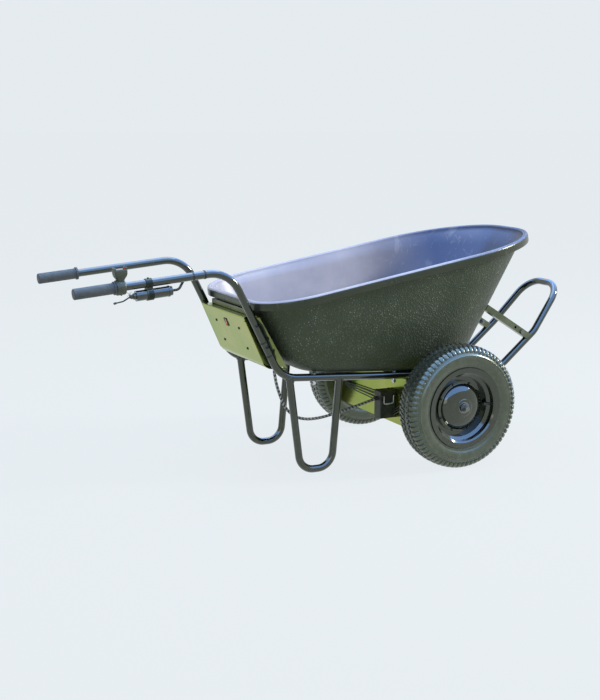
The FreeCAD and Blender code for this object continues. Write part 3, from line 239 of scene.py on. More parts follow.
def scratch_group():
    """Shared effect: fine crossing scratches and rub marks, as a mask."""
    tree, inside, outside = effect_group("Rub_Marks", ("Scale", "Amount"), "Mask")
    links = tree.links
    masks = []
    for turn, stretch in (((0.4, 0.2, 0.7), (1.0, 0.04, 0.3)), ((1.1, 0.9, 0.1), (0.05, 1.0, 0.4))):
        lay = tree.nodes.new("ShaderNodeMapping")
        lay.inputs["Rotation"].default_value = turn
        lay.inputs["Scale"].default_value = stretch
        noise = tree.nodes.new("ShaderNodeTexNoise")
        noise.inputs["Detail"].default_value = 6.0
        sharp = tree.nodes.new("ShaderNodeMapRange")
        sharp.inputs["From Min"].default_value = 0.62
        sharp.inputs["From Max"].default_value = 0.70
        links.new(inside.outputs["Vector"], lay.inputs["Vector"])
        links.new(lay.outputs["Vector"], noise.inputs["Vector"])
        links.new(inside.outputs["Scale"], noise.inputs["Scale"])
        links.new(noise.outputs["Fac"], sharp.inputs["Value"])
        masks.append(sharp.outputs["Result"])
    either = tree.nodes.new("ShaderNodeMath")
    either.operation = "MAXIMUM"
    scaled = tree.nodes.new("ShaderNodeMath")
    scaled.operation = "MULTIPLY"
    links.new(masks[0], either.inputs[0])
    links.new(masks[1], either.inputs[1])
    links.new(either.outputs["Value"], scaled.inputs[0])
    links.new(inside.outputs["Amount"], scaled.inputs[1])
    links.new(scaled.outputs["Value"], outside.inputs["Mask"])
    return tree


BLOTCHES = blotch_group()
GROUND_DUST = dust_group()
RUB_MARKS = scratch_group()
DUST_COLOUR = (0.20, 0.19, 0.13, 1.0)
# the tone of the light that a surface throws back: a painted green reflection of the ground over plastics and
# paint, plain over bare metal
PAINTED_GREEN_REFLECTION = (0.80, 0.95, 0.62, 1.0)
CLEAR_SHEEN = (1.0, 1.0, 1.0, 1.0)


class Finish:
    """A material whose colour, roughness and relief are built up in layers on one Principled shader."""

    def __init__(self, name, metallic=0.0, coat=0.0, coat_roughness=0.08, specular=0.5, tint=PAINTED_GREEN_REFLECTION):
        self.material = bpy.data.materials.new(name)
        self.material.use_nodes = True
        self.nodes = self.material.node_tree.nodes
        self.links = self.material.node_tree.links
        self.shader = self.nodes["Principled BSDF"]
        self.shader.inputs["Metallic"].default_value = metallic
        self.shader.inputs["Coat Weight"].default_value = coat
        self.shader.inputs["Coat Roughness"].default_value = coat_roughness
        self.shader.inputs["Specular IOR Level"].default_value = specular
        self.shader.inputs["Specular Tint"].default_value = tint
        self.place = self.nodes.new("ShaderNodeTexCoord").outputs["Object"]

    def effect(self, tree, **values):
        """A shared effect's mask over this material's surface."""
        node = self.nodes.new("ShaderNodeGroup")
        node.node_tree = tree
        self.links.new(self.place, node.inputs["Vector"])
        for socket, value in values.items():
            node.inputs[socket].default_value = value
        return node.outputs[0]

    def mixed(self, first, second, factor):
        """A colour that changes from the first to the second; either may be a socket."""
        node = self.nodes.new("ShaderNodeMix")
        node.data_type = "RGBA"
        for socket, value in ((node.inputs[6], first), (node.inputs[7], second)):
            if isinstance(value, bpy.types.NodeSocket):
                self.links.new(value, socket)
            else:
                socket.default_value = (*value[:3], 1.0)
        self.links.new(factor, node.inputs[0])
        return node.outputs[2]

    def ranged(self, source, low, high):
        """A number that goes from low to high as its source goes from 0 to 1."""
        node = self.nodes.new("ShaderNodeMapRange")
        node.inputs["To Min"].default_value = low
        node.inputs["To Max"].default_value = high
        self.links.new(source, node.inputs["Value"])
        return node.outputs["Result"]

    def sum(self, first, second, operation="ADD"):
        """Two numbers put together, by adding unless another operation is named."""
        node = self.nodes.new("ShaderNodeMath")
        node.operation = operation
        self.links.new(first, node.inputs[0])
        self.links.new(second, node.inputs[1])
        return node.outputs["Value"]

    def relief(self, height, depth):
        """Raise the surface by the height, in metres at its greatest."""
        node = self.nodes.new("ShaderNodeBump")
        node.inputs["Distance"].default_value = depth
        node.inputs["Strength"].default_value = 1.0
        self.links.new(height, node.inputs["Height"])
        if self.shader.inputs["Normal"].is_linked:
            self.links.new(self.shader.inputs["Normal"].links[0].from_socket, node.inputs["Normal"])
        self.links.new(node.outputs["Normal"], self.shader.inputs["Normal"])

    def set(self, colour=None, roughness=None):
        """Give the shader its colour and roughness, and return the finished material."""
        if colour is not None:
            self.links.new(colour, self.shader.inputs["Base Color"])
        if roughness is not None:
            self.links.new(roughness, self.shader.inputs["Roughness"])
        return self.material


def plain_finish(name, colour, worn, rough, metallic=0.0, coat=0.0, blotch=24.0, grain=900.0, depth=0.00005,
                 marks=60.0, marked=0.35, dust_top=0.30, dust=0.5, tint=PAINTED_GREEN_REFLECTION):
    """The finish most pieces share: blotchy colour, fine grain, rub marks and dust low down."""
    finish = Finish(name, metallic=metallic, coat=coat, tint=tint)
    blotches = finish.effect(BLOTCHES, Scale=blotch, Low=0.35, High=0.68)
    fine = finish.effect(BLOTCHES, Scale=grain, Low=0.3, High=0.7)
    rubs = finish.effect(RUB_MARKS, Scale=marks, Amount=marked)
    low_dust = finish.effect(GROUND_DUST, Top=dust_top, Amount=dust)
    base = finish.mixed(colour, tuple(c * 0.72 for c in colour), blotches)
    base = finish.mixed(base, worn, rubs)
    base = finish.mixed(base, DUST_COLOUR, low_dust)
    roughness = finish.ranged(blotches, rough[0], rough[1])
    roughness = finish.sum(roughness, finish.ranged(low_dust, 0.0, 0.35))
    finish.relief(fine, depth)
    return finish.set(base, roughness)


def dress(material, *node_names):
    """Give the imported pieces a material."""
    for node_name in node_names:
        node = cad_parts[node_name]
        if not node.material_slots:
            node.data.materials.append(material)
        for place in node.material_slots:
            place.material = material


jacket = plain_finish("cable_jacket", (0.020, 0.020, 0.021), (0.08, 0.08, 0.08), (0.38, 0.55), blotch=60.0,
                      grain=1500.0)
wrap_plastic = plain_finish("spiral_wrap", (0.34, 0.345, 0.34), (0.50, 0.50, 0.47), (0.25, 0.40), blotch=40.0,
                            grain=1300.0)
loom_points = [from_axle(*point) for point in LOOM_POINTS]
hanging_loom = loom_curve("free_loom", loom_points, LOOM_R)
hanging_loom.data.materials.append(jacket)
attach(hanging_loom, "chassis")
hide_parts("hanging_loom")
loom_line = smooth_line(loom_points)
loom_length = sum((b - a).length for a, b in zip(loom_line, loom_line[1:]))
WRAP = {"radius": LOOM_R - 0.0002, "pitch": 0.0125, "width": 0.0068, "thickness": 0.0007}
wrap_points, wrap_faces = spiral_wrap(loom_line, loom_length - WRAP_END_GAP, WRAP_START, **WRAP)
loom_wrap = piece_of("free_loom_wrap", made_mesh("free_loom_wrap", wrap_points, wrap_faces), "chassis",
                     wrap_plastic)

# ---------------------------------------------------------------- bent tube frame
# 22 mm steel tube, bent cold, welded and coated with glossy black powder. The coat shows a fine orange
# peel, fine rub marks, and dust on the legs.
powder_coat = plain_finish("black_powder_coat", (0.007, 0.008, 0.006), (0.030, 0.032, 0.026), (0.05, 0.11),
                           coat=1.0, blotch=14.0, grain=420.0, depth=0.00001, marked=0.15, dust_top=0.22,
                           dust=0.30)
dress(powder_coat, "frame_tube_right", "frame_tube_left", "leg_right", "leg_left", "front_hoop",
      "axle_plates")
plug_plastic = plain_finish("black_moulded_plastic", (0.022, 0.022, 0.024), (0.09, 0.09, 0.09), (0.42, 0.58),
                            blotch=50.0, grain=1600.0)
dress(plug_plastic, "tube_plugs")

# Weld beads where the legs meet the handle tubes: overlapping ripples laid round each joint.
TUBE_R = 0.0111
TUBE_Y = 0.172
BEAD_R = 0.0026
LEG_TOPS = [
    # where the leg meets the tube, the leg's direction, and the tube's line there
    ((-0.5000, 0.290), (0.1345, -0.9909), (-0.5000, 0.2937), (0.951, -0.308)),
    ((-0.3370, 0.282), (-0.0846, -0.9964), (-0.3370, 0.2805), (0.9979, -0.0653)),
]


def saddle_line(leg_at, leg_way, tube_at, tube_way, steps=46):
    """The line round a leg where it meets a handle tube."""
    line = []
    way = Vector((leg_way[0], 0, leg_way[1])).normalized()
    tube_axis = Vector((tube_way[0], 0, tube_way[1])).normalized()
    across = Vector((0, 1, 0))
    third = way.cross(across)
    for i in range(steps):
        turn = 2 * math.pi * i / steps
        foot = Vector((leg_at[0], 0, leg_at[1])) + (across * math.cos(turn) + third * math.sin(turn)) * TUBE_R
        offset = foot - Vector((tube_at[0], 0, tube_at[1]))
        flat = offset - tube_axis * offset.dot(tube_axis)
        down = way - tube_axis * way.dot(tube_axis)
        a = down.length_squared
        b = 2 * flat.dot(down)
        c = flat.length_squared - TUBE_R ** 2
        root = math.sqrt(max(b * b - 4 * a * c, 0.0))
        line.append(foot + way * ((-b + root) / (2 * a)))
    return line


def ripple_mesh():
    """One ripple of a weld bead: a small flattened ball."""
    work = bmesh.new()
    bmesh.ops.create_icosphere(work, subdivisions=2, radius=1.0)
    for face in work.faces:
        face.smooth = True
    mesh = bpy.data.meshes.new("weld_ripple")
    work.to_mesh(mesh)
    work.free()
    return mesh


def maker_tree(name, **inputs):
    """An empty Geometry Nodes tree with named inputs, given as the name and the kind of each."""
    tree = bpy.data.node_groups.new(name, "GeometryNodeTree")
    face = tree.interface
    face.new_socket("Geometry", in_out="INPUT", socket_type="NodeSocketGeometry")
    for socket, kind in inputs.items():
        face.new_socket(socket.replace("_", " "), in_out="INPUT", socket_type="NodeSocket" + kind)
    face.new_socket("Geometry", in_out="OUTPUT", socket_type="NodeSocketGeometry")
    return tree, tree.nodes.new("NodeGroupInput"), tree.nodes.new("NodeGroupOutput")


def ripple_tree():
    """Copies of a ripple, along the edges of a closed line."""
    tree, inside, outside = maker_tree("Weld_Ripples", Ripple="Object", Spacing="Float", Bead_Radius="Float",
                                       Material="Material")
    new = tree.nodes.new
    curve = new("GeometryNodeMeshToCurve")
    spaced = new("GeometryNodeResampleCurve")
    spaced.mode = "LENGTH"
    info = new("GeometryNodeObjectInfo")
    copies = new("GeometryNodeInstanceOnPoints")
    size = new("FunctionNodeRandomValue")
    size.inputs[2].default_value = 0.85
    size.inputs[3].default_value = 1.1
    size.inputs["Seed"].default_value = 4
    bead = new("ShaderNodeMath")
    bead.operation = "MULTIPLY"
    real = new("GeometryNodeRealizeInstances")
    coated = new("GeometryNodeSetMaterial")
    links = tree.links
    links.new(inside.outputs["Geometry"], curve.inputs["Mesh"])
    links.new(curve.outputs["Curve"], spaced.inputs["Curve"])
    links.new(inside.outputs["Spacing"], spaced.inputs["Length"])
    links.new(inside.outputs["Ripple"], info.inputs["Object"])
    links.new(spaced.outputs["Curve"], copies.inputs["Points"])
    links.new(info.outputs["Geometry"], copies.inputs["Instance"])
    links.new(size.outputs[1], bead.inputs[0])
    links.new(inside.outputs["Bead Radius"], bead.inputs[1])
    links.new(bead.outputs["Value"], copies.inputs["Scale"])
    links.new(copies.outputs["Instances"], real.inputs["Geometry"])
    links.new(real.outputs["Geometry"], coated.inputs["Geometry"])
    links.new(inside.outputs["Material"], coated.inputs["Material"])
    links.new(coated.outputs["Geometry"], outside.inputs["Geometry"])
    return tree


def grown_mesh(name, host_mesh, tree, values):
    """The plain mesh that a Geometry Nodes tree makes from a host mesh."""
    host = bpy.data.objects.new(name + "_host", host_mesh)
    bpy.context.scene.collection.objects.link(host)
    maker = host.modifiers.new("maker", "NODES")
    maker.node_group = tree
    for item in tree.interface.items_tree:
        if item.in_out == "INPUT" and item.name in values:
            maker[item.identifier] = values[item.name]
    bpy.context.view_layer.update()
    mesh = bpy.data.meshes.new_from_object(host.evaluated_get(bpy.context.evaluated_depsgraph_get()))
    mesh.name = name
    bpy.data.objects.remove(host)
    return mesh


RIPPLE_SPACING = 0.0024
ripple = bpy.data.objects.new("weld_ripple", ripple_mesh())
WELD_RIPPLES = ripple_tree()
weld_points = []
weld_edges = []
for side in (-1, 1):
    for leg_top in LEG_TOPS:
        ring = [point + Vector((AXLE_X, side * TUBE_Y, 0)) for point in saddle_line(*leg_top)]
        first = len(weld_points)
        weld_points += ring
        weld_edges += [(first + i, first + (i + 1) % len(ring)) for i in range(len(ring))]
weld_lines = bpy.data.meshes.new("weld_lines")
weld_lines.from_pydata(weld_points, weld_edges, [])
weld_mesh = grown_mesh("leg_welds", weld_lines, WELD_RIPPLES,
                       {"Ripple": ripple, "Spacing": RIPPLE_SPACING, "Bead Radius": BEAD_R,
                        "Material": powder_coat})
bpy.data.objects.remove(ripple)
leg_welds = piece_of("leg_welds", weld_mesh, "chassis", powder_coat)

# ---------------------------------------------------------------- braces, carrier and fasteners
# Square tube and 1.5-3 mm sheet, cut, folded and zinc plated, with a cloudy yellow-green colour on the sheet
# and a grey-green one on the tube.
# The frame's bolts are a dull dark zinc, the tub's are bright, and the screws and clamps are blackened.


def zinc_finish(name, colour, other, rough, clouds, dust=0.35):
    """Plated metal: cloudy colour, a fine spangle, rub marks and dust low down."""
    finish = Finish(name, metallic=1.0, tint=CLEAR_SHEEN)
    cloud = finish.effect(BLOTCHES, Scale=clouds, Low=0.34, High=0.68)
    spangle = finish.effect(BLOTCHES, Scale=clouds * 9.0, Low=0.3, High=0.7)
    rubs = finish.effect(RUB_MARKS, Scale=90.0, Amount=0.18)
    low_dust = finish.effect(GROUND_DUST, Top=0.36, Amount=dust)
    base = finish.mixed(colour, other, cloud)
    base = finish.mixed(base, tuple(min(1.0, c * 1.15) for c in colour), rubs)
    base = finish.mixed(base, DUST_COLOUR, low_dust)
    roughness = finish.sum(finish.ranged(cloud, rough[0], rough[1]), finish.ranged(spangle, -0.02, 0.03))
    finish.relief(spangle, 0.000003)
    return finish.set(base, roughness)


zinc_sheet = zinc_finish("yellow_green_zinc_sheet", (0.24, 0.33, 0.045), (0.39, 0.40, 0.10), (0.16, 0.24), 5.0)
zinc_tube = zinc_finish("grey_green_zinc_tube", (0.10, 0.12, 0.07), (0.20, 0.215, 0.15), (0.14, 0.24), 12.0)
# The battery tray and straps get a darker, rougher copy of the zinc sheet: the darkness is painted shade.
dull_zinc_painted_shade = zinc_finish("dull_zinc_sheet_painted_shade", (0.14, 0.18, 0.055), (0.24, 0.26, 0.10), (0.24, 0.36), 8.0)
bright_zinc = zinc_finish("bright_zinc", (0.70, 0.71, 0.70), (0.55, 0.56, 0.55), (0.22, 0.38), 120.0)
dark_zinc = zinc_finish("dark_zinc", (0.16, 0.165, 0.15), (0.24, 0.245, 0.23), (0.18, 0.30), 140.0)
black_oxide = plain_finish("black_oxide_steel", (0.022, 0.024, 0.020), (0.16, 0.17, 0.15), (0.26, 0.38),
                           metallic=0.7, blotch=150.0, grain=1800.0, depth=0.00002)
dress(zinc_sheet, "rear_panel", "axle_carrier")
dress(zinc_tube, "hoop_brace_right", "hoop_brace_left")
dress(dull_zinc_painted_shade, "battery_tray", "battery_straps")
dress(dark_zinc, "frame_bolts")
dress(bright_zinc, "tub_bolts")
dress(black_oxide, "panel_screws", "small_screws", "barrel_clamp", "box_bolts")
bracket_steel = zinc_finish("zinc_bracket", (0.11, 0.12, 0.06), (0.20, 0.20, 0.12), (0.25, 0.40), 18.0)
dress(bracket_steel, "lip_bracket")

# ---------------------------------------------------------------- tub
# Moulded from one heavy sheet of black polyethylene: a pebbled outside, a smooth inside that loads have
# scuffed, paler at the back with painted light and darker at the nose with painted shade, rounded floor edges
# and a rolled rim. It is bolted through the floor to the rails.
RAIL_AT = (-0.528, 0.293)
RAIL_SLOPE = -0.0655
FLOOR_Z = RAIL_AT[1] - RAIL_SLOPE * RAIL_AT[0] + TUBE_R * math.sqrt(1 + RAIL_SLOPE ** 2) + 0.0001
RIM_Z = 0.6186
RIM_SLOPE = 0.167
WALL = 0.004
KNEE_RISE = 0.026
# rear, front, half width, rear corner (length, width), nose corner (length, width)
TUB_TOP = (-0.610, 0.366, 0.262, (0.150, 0.120), (0.300, 0.225))
TUB_KNEE = (-0.499, 0.139, 0.208, (0.085, 0.075), (0.190, 0.160))
TUB_FLOOR = (-0.472, 0.114, 0.193, (0.066, 0.060), (0.170, 0.146))
CORNER_STEPS = 16
NOSE_STEPS = 26
SIDE_STEPS = 18


def tub_outline(section, grow=0.0):
    """One side of the tub's outline from the nose to the back, then the other side, as (x, y)."""
    rear, front, half_w, (ra, rb), (na, nb) = section
    rear, front, half_w = rear - grow, front + grow, half_w + grow
    ra, rb, na, nb = ra + grow, rb + grow, na + grow, nb + grow
    half = [(front, (half_w - nb) * i / 5.0) for i in range(5)]
    for i in range(NOSE_STEPS):
        turn = 0.5 * math.pi * i / NOSE_STEPS
        half.append((front - na + na * math.cos(turn), half_w - nb + nb * math.sin(turn)))
    for i in range(SIDE_STEPS):
        half.append((front - na + (rear + ra - front + na) * i / SIDE_STEPS, half_w))
    for i in range(CORNER_STEPS):
        turn = 0.5 * math.pi * (1 + i / CORNER_STEPS)
        half.append((rear + ra + ra * math.cos(turn), half_w - rb + rb * math.sin(turn)))
    half += [(rear, (half_w - rb) * (1 - i / 5.0)) for i in range(6)]
    return half + [(x, -y) for x, y in reversed(half[1:-1])]


def tub_ring(section, height, slope, grow, rise):
    """The outline on a sloping plane, raised square to it."""
    tilt = math.atan(slope)
    return [from_axle(x * math.cos(tilt) - rise * math.sin(tilt), y,
                      height + x * math.sin(tilt) + rise * math.cos(tilt))
            for x, y in tub_outline(section, grow)]


def between(ring_a, ring_b, share):
    """A ring part of the way from one ring to another."""
    return [a.lerp(b, share) for a, b in zip(ring_a, ring_b)]


def tub_wall_rings(floor, knee, top):
    """Rings from the floor, round its edge and up the wall."""
    middle = Vector((sum(p.x for p in floor) / len(floor), 0, sum(p.z for p in floor) / len(floor)))
    floor_middle = [middle] * len(floor)
    rings = [between(floor_middle, floor, share) for share in (0.03, 0.25, 0.5, 0.72, 0.84)]
    start = between(floor_middle, floor, 0.84)
    end = between(knee, top, 0.10)
    corner = between(floor, knee, 0.30)
    for i in range(1, 10):
        t = i / 10.0
        rings.append([a * (1 - t) ** 2 + c * 2 * t * (1 - t) + b * t ** 2
                      for a, c, b in zip(start, corner, end)])
    rings += [between(knee, top, share) for share in (0.10, 0.25, 0.4, 0.55, 0.7, 0.85, 0.955)]
    return rings


outer_rings = tub_wall_rings(tub_ring(TUB_FLOOR, FLOOR_Z, RAIL_SLOPE, 0.0, 0.0),
                             tub_ring(TUB_KNEE, FLOOR_Z, RAIL_SLOPE, 0.0, KNEE_RISE),
                             tub_ring(TUB_TOP, RIM_Z, RIM_SLOPE, 0.0, 0.0))
inner_rings = tub_wall_rings(tub_ring(TUB_FLOOR, FLOOR_Z, RAIL_SLOPE, -WALL / 2, WALL),
                             tub_ring(TUB_KNEE, FLOOR_Z, RAIL_SLOPE, -WALL, KNEE_RISE + WALL / 2),
                             tub_ring(TUB_TOP, RIM_Z, RIM_SLOPE, -WALL, 0.0))
# the rolled rim as (outwards, upwards) from the top of the outer wall
RIM_UNDER = [(-0.0006, -0.0095), (0.0008, -0.0058), (0.0038, -0.0040), (0.0072, -0.0042), (0.0094, -0.0062),
             (0.0100, -0.0095), (0.0100, -0.0165), (0.0100, -0.0236), (0.0104, -0.0247), (0.0115, -0.0250),
             (0.0126, -0.0247), (0.0130, -0.0236)]
RIM_OVER = [(0.0130, -0.0165), (0.0128, -0.0080), (0.0120, -0.0040), (0.0102, -0.0014), (0.0075, -0.0002),
            (0.0045, 0.0), (0.0022, -0.0004), (0.0012, -0.0013), (0.0002, -0.0014), (-0.0012, -0.0008),
            (-0.0030, -0.0022), (-0.0040, -0.0050), (-0.0046, -0.0100)]
under_rings = [tub_ring(TUB_TOP, RIM_Z, RIM_SLOPE, out, up) for out, up in RIM_UNDER]
over_rings = [tub_ring(TUB_TOP, RIM_Z, RIM_SLOPE, out, up) for out, up in RIM_OVER]
tub_rings = outer_rings + under_rings + over_rings + list(reversed(inner_rings))
around = len(tub_rings[0])
tub_points = [point for ring in tub_rings for point in ring]
tub_faces = [(a * around + i, a * around + (i + 1) % around, (a + 1) * around + (i + 1) % around,
              (a + 1) * around + i) for a in range(len(tub_rings) - 1) for i in range(around)]
for first in (0, (len(tub_rings) - 1) * around):
    tub_points.append(sum((tub_points[first + i] for i in range(around)), Vector()) / around)
    tub_faces += [(first + i, first + (i + 1) % around, len(tub_points) - 1) for i in range(around)]
# the faces go from the pebbled outside to the smooth band round the rim, then over it to the scuffed inside
# with its painted light and shade
band_start = (len(outer_rings) + 4) * around
inside_start = (len(outer_rings) + len(under_rings) + 2) * around
tub_kinds = []
for i in range(len(tub_faces) - 2 * around):
    tub_kinds.append(0 if i < band_start else 2 if i < inside_start else 1)
tub_kinds += [0] * around + [1] * around
tub_mesh = made_mesh("tub_shell", tub_points, tub_faces, 80.0, tub_kinds)

pebbled = Finish("pebbled_polyethylene", specular=0.5)
pebble_cells = pebbled.nodes.new("ShaderNodeTexVoronoi")
pebble_cells.inputs["Scale"].default_value = 180.0
pebbled.links.new(pebbled.place, pebble_cells.inputs["Vector"])
pebble_height = pebbled.nodes.new("ShaderNodeMapRange")
pebble_height.inputs["From Min"].default_value = 0.05
pebble_height.inputs["From Max"].default_value = 0.62
pebble_height.inputs["To Min"].default_value = 1.0
pebble_height.inputs["To Max"].default_value = 0.0
pebbled.links.new(pebble_cells.outputs["Distance"], pebble_height.inputs["Value"])
pebble_tops = pebbled.nodes.new("ShaderNodeMapRange")
pebble_tops.inputs["From Min"].default_value = 0.68
pebble_tops.inputs["From Max"].default_value = 0.94
pebbled.links.new(pebble_height.outputs["Result"], pebble_tops.inputs["Value"])
some_pebbles = pebbled.effect(BLOTCHES, Scale=110.0, Low=0.38, High=0.52)
streaks = pebbled.effect(BLOTCHES, Scale=9.0, Low=0.36, High=0.66)
fine_pebbles = pebbled.effect(BLOTCHES, Scale=520.0, Low=0.3, High=0.7)
pale_tops = pebbled.sum(pebble_tops.outputs["Result"], some_pebbles, "MULTIPLY")
speckle = pebbled.sum(pale_tops, streaks, "MULTIPLY")
# The olive-green tint of the near-black base is painted light: green light bounced from the ground into the
# shade.
tub_colour = pebbled.mixed((0.020, 0.026, 0.014), (0.034, 0.041, 0.025), streaks)
tub_colour = pebbled.mixed(tub_colour, (0.52, 0.54, 0.45), speckle)
pebbled.relief(pebble_height.outputs["Result"], 0.0013)
pebbled.relief(fine_pebbles, 0.0004)
pebbled_plastic = pebbled.set(tub_colour, pebbled.ranged(streaks, 0.36, 0.46))

# The scuffed inside is pale at the back and darker and bluer towards the nose: the pale back is partly
# scuffing and partly painted light, and the dark nose is painted shade.
smooth = Finish("scuffed_polyethylene_painted_shade", specular=0.5, tint=CLEAR_SHEEN)
along_tub = smooth.nodes.new("ShaderNodeSeparateXYZ")
smooth.links.new(smooth.place, along_tub.inputs["Vector"])
nose_painted_shade = smooth.nodes.new("ShaderNodeMapRange")
nose_painted_shade.inputs["From Min"].default_value = AXLE_X - 0.08
nose_painted_shade.inputs["From Max"].default_value = AXLE_X + 0.22
smooth.links.new(along_tub.outputs["X"], nose_painted_shade.inputs["Value"])
haze = smooth.effect(BLOTCHES, Scale=4.0, Low=0.32, High=0.68)
swirls = smooth.effect(RUB_MARKS, Scale=26.0, Amount=0.16)
fine_swirls = smooth.effect(RUB_MARKS, Scale=110.0, Amount=0.14)
grain = smooth.effect(BLOTCHES, Scale=700.0, Low=0.3, High=0.7)
inside_colour = smooth.mixed((0.31, 0.32, 0.40), (0.48, 0.48, 0.53), haze)
# painted shade: the colour turns dark blue towards the nose
inside_colour = smooth.mixed(inside_colour, (0.040, 0.053, 0.100), nose_painted_shade.outputs["Result"])
inside_colour = smooth.mixed(inside_colour, (0.54, 0.55, 0.58), swirls)
inside_colour = smooth.mixed(inside_colour, (0.50, 0.51, 0.54), fine_swirls)
smooth.relief(grain, 0.00005)
smooth_plastic = smooth.set(inside_colour, smooth.ranged(haze, 0.28, 0.40))

# The lip's olive tint is painted light: green light bounced from the ground into the shade.
lip_plastic = plain_finish("tub_lip", (0.030, 0.034, 0.026), (0.12, 0.12, 0.10), (0.20, 0.30), blotch=10.0,
                           grain=700.0, depth=0.00004, marks=40.0, marked=0.3, dust=0.0)
tub_shell = piece_of("tub_shell", tub_mesh, "chassis", [pebbled_plastic, smooth_plastic, lip_plastic])
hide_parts("tub")

# ---------------------------------------------------------------- battery compartment
# Folded sheet box under the tub's rear lip: bright outer panel on four dark button screws, a rocker switch
# with a red lens, and the wrapped battery pack strapped to the inner tray.
black_moulding = plain_finish("black_nylon", (0.018, 0.018, 0.019), (0.10, 0.10, 0.10), (0.36, 0.5),
                              blotch=70.0, grain=1400.0)
red_lens = plain_finish("red_lens", (0.85, 0.085, 0.010), (0.7, 0.15, 0.05), (0.18, 0.28), coat=0.3,
                        blotch=160.0, grain=2500.0, depth=0.00001)
battery_wrap = plain_finish("battery_shrink_wrap", (0.02, 0.07, 0.22), (0.10, 0.16, 0.30), (0.22, 0.34),
                            coat=0.3, blotch=22.0, grain=260.0, depth=0.00015)
dress(black_moulding, "switch_body", "cable_ties", "cable_glands")
dress(red_lens, "switch_rocker", "throttle_button")
dress(battery_wrap, "battery_pack")

# ---------------------------------------------------------------- handle controls
# Rubber grips, the right one turning on the tube as the throttle, with its moulded housing and display,
# and a switch barrel slung below with its wire lever and return spring.
grip_rubber = plain_finish("grip_rubber", (0.070, 0.072, 0.085), (0.11, 0.11, 0.12), (0.50, 0.66),
                           blotch=45.0, grain=1900.0, depth=0.00012, marked=0.3)
housing_plastic = plain_finish("housing_plastic", (0.060, 0.064, 0.055), (0.16, 0.16, 0.15), (0.34, 0.5),
                               blotch=60.0, grain=1700.0, depth=0.00006)
barrel_plastic = plain_finish("barrel_plastic", (0.010, 0.011, 0.010), (0.05, 0.05, 0.05), (0.08, 0.15),
                              coat=1.0, blotch=55.0, grain=1200.0, depth=0.00001)
spring_steel = zinc_finish("spring_steel", (0.42, 0.42, 0.42), (0.30, 0.30, 0.30), (0.25, 0.4), 200.0)
display_window = plain_finish("display_window", (0.04, 0.06, 0.08), (0.10, 0.12, 0.14), (0.06, 0.14),
                              coat=0.6, blotch=90.0, grain=2500.0, depth=0.000005)
dress(grip_rubber, "grip_left", "twist_grip")

# The throttle housing is a clamped collar with a waisted pod above it. The pod's top has a raised edge at
# each end, with the display between them, and the button stands in a bore between the front edge's halves.
HANDLE_END = Vector((-1.127 + AXLE_X, -TUBE_Y, 0.570))
HANDLE_RUN = Vector((0.441, 0, 0.039)).normalized()
HANDLE_UP = Vector((-HANDLE_RUN.z, 0, HANDLE_RUN.x))


def handle_point(along, side, up):
    """A point in millimetres from the right grip's end, along, beside and above the handle tube."""
    return HANDLE_END + (HANDLE_RUN * along + Vector((0, side, 0)) + HANDLE_UP * up) * 0.001


# points round each of a ring's four corners
CORNER_POINTS = 6


def rounded_ring(centre, half_long, half_wide, corner, up, side=0.0):
    """A rounded rectangle across the handle's upward direction."""
    ring = []
    for quarter in range(4):
        sign_a = 1 if quarter in (0, 3) else -1
        sign_b = 1 if quarter in (0, 1) else -1
        for i in range(CORNER_POINTS):
            turn = math.pi / 2 * (quarter + i / (CORNER_POINTS - 1.0))
            ring.append(handle_point(centre + sign_a * (half_long - corner) + corner * math.cos(turn),
                                     side + sign_b * (half_wide - corner) + corner * math.sin(turn), up))
    return ring


def stack(rings):
    """A closed form through rings of equal length."""
    count = len(rings[0])
    points = [point for ring in rings for point in ring]
    faces = [(a * count + i, a * count + (i + 1) % count, (a + 1) * count + (i + 1) % count,
              (a + 1) * count + i) for a in range(len(rings) - 1) for i in range(count)]
    faces += [tuple(range(count)), tuple((len(rings) - 1) * count + i for i in range(count))]
    return points, faces


COLLAR_STEPS = 48


def collar_ring(along, radius):
    """A circle round the handle tube."""
    turns = [2 * math.pi * i / COLLAR_STEPS for i in range(COLLAR_STEPS)]
    return [handle_point(along, radius * math.cos(turn), radius * math.sin(turn)) for turn in turns]


# centre along the handle, half length, half width, corner and height of each ring of the pod
POD_RINGS = [(128.0, 9.0, 10.0, 4.0, 12.0), (128.0, 9.5, 10.5, 4.5, 19.0), (128.2, 12.0, 12.0, 5.0, 24.0),
             (128.5, 15.5, 14.0, 5.0, 29.0), (129.0, 17.5, 15.0, 5.0, 35.0), (129.0, 18.0, 15.0, 4.5, 43.0),
             (129.2, 17.8, 14.7, 4.5, 46.5), (129.4, 17.2, 13.8, 4.0, 47.8)]
# half length, half width, corner and height of each ring of the rear edge, then of one front half
REAR_EDGE = [(1.9, 13.6, 1.6, 44.0), (2.3, 13.4, 1.6, 51.0), (1.8, 12.4, 1.2, 53.2), (0.9, 11.0, 0.8, 54.0)]
FRONT_EDGE = [(1.9, 4.7, 1.6, 44.0), (2.3, 4.8, 1.6, 51.0), (1.8, 4.3, 1.2, 53.2), (0.9, 3.4, 0.8, 54.0)]
REAR_EDGE_AT = 113.8
FRONT_EDGE_AT = 145.0
FRONT_EDGE_SIDE = 8.5
BUTTON_AT = 142.6
BUTTON_BORE_R = 2.9
BUTTON_BORE = (41.5, 60.0)
# the clamped collar, bored for the tube: distance along the handle and radius
COLLAR = [(112.7, 11.3), (112.7, 18.6), (113.6, 20.0), (116.5, 20.6), (134.0, 20.6), (137.0, 20.0),
          (138.0, 18.6), (138.0, 11.3)]


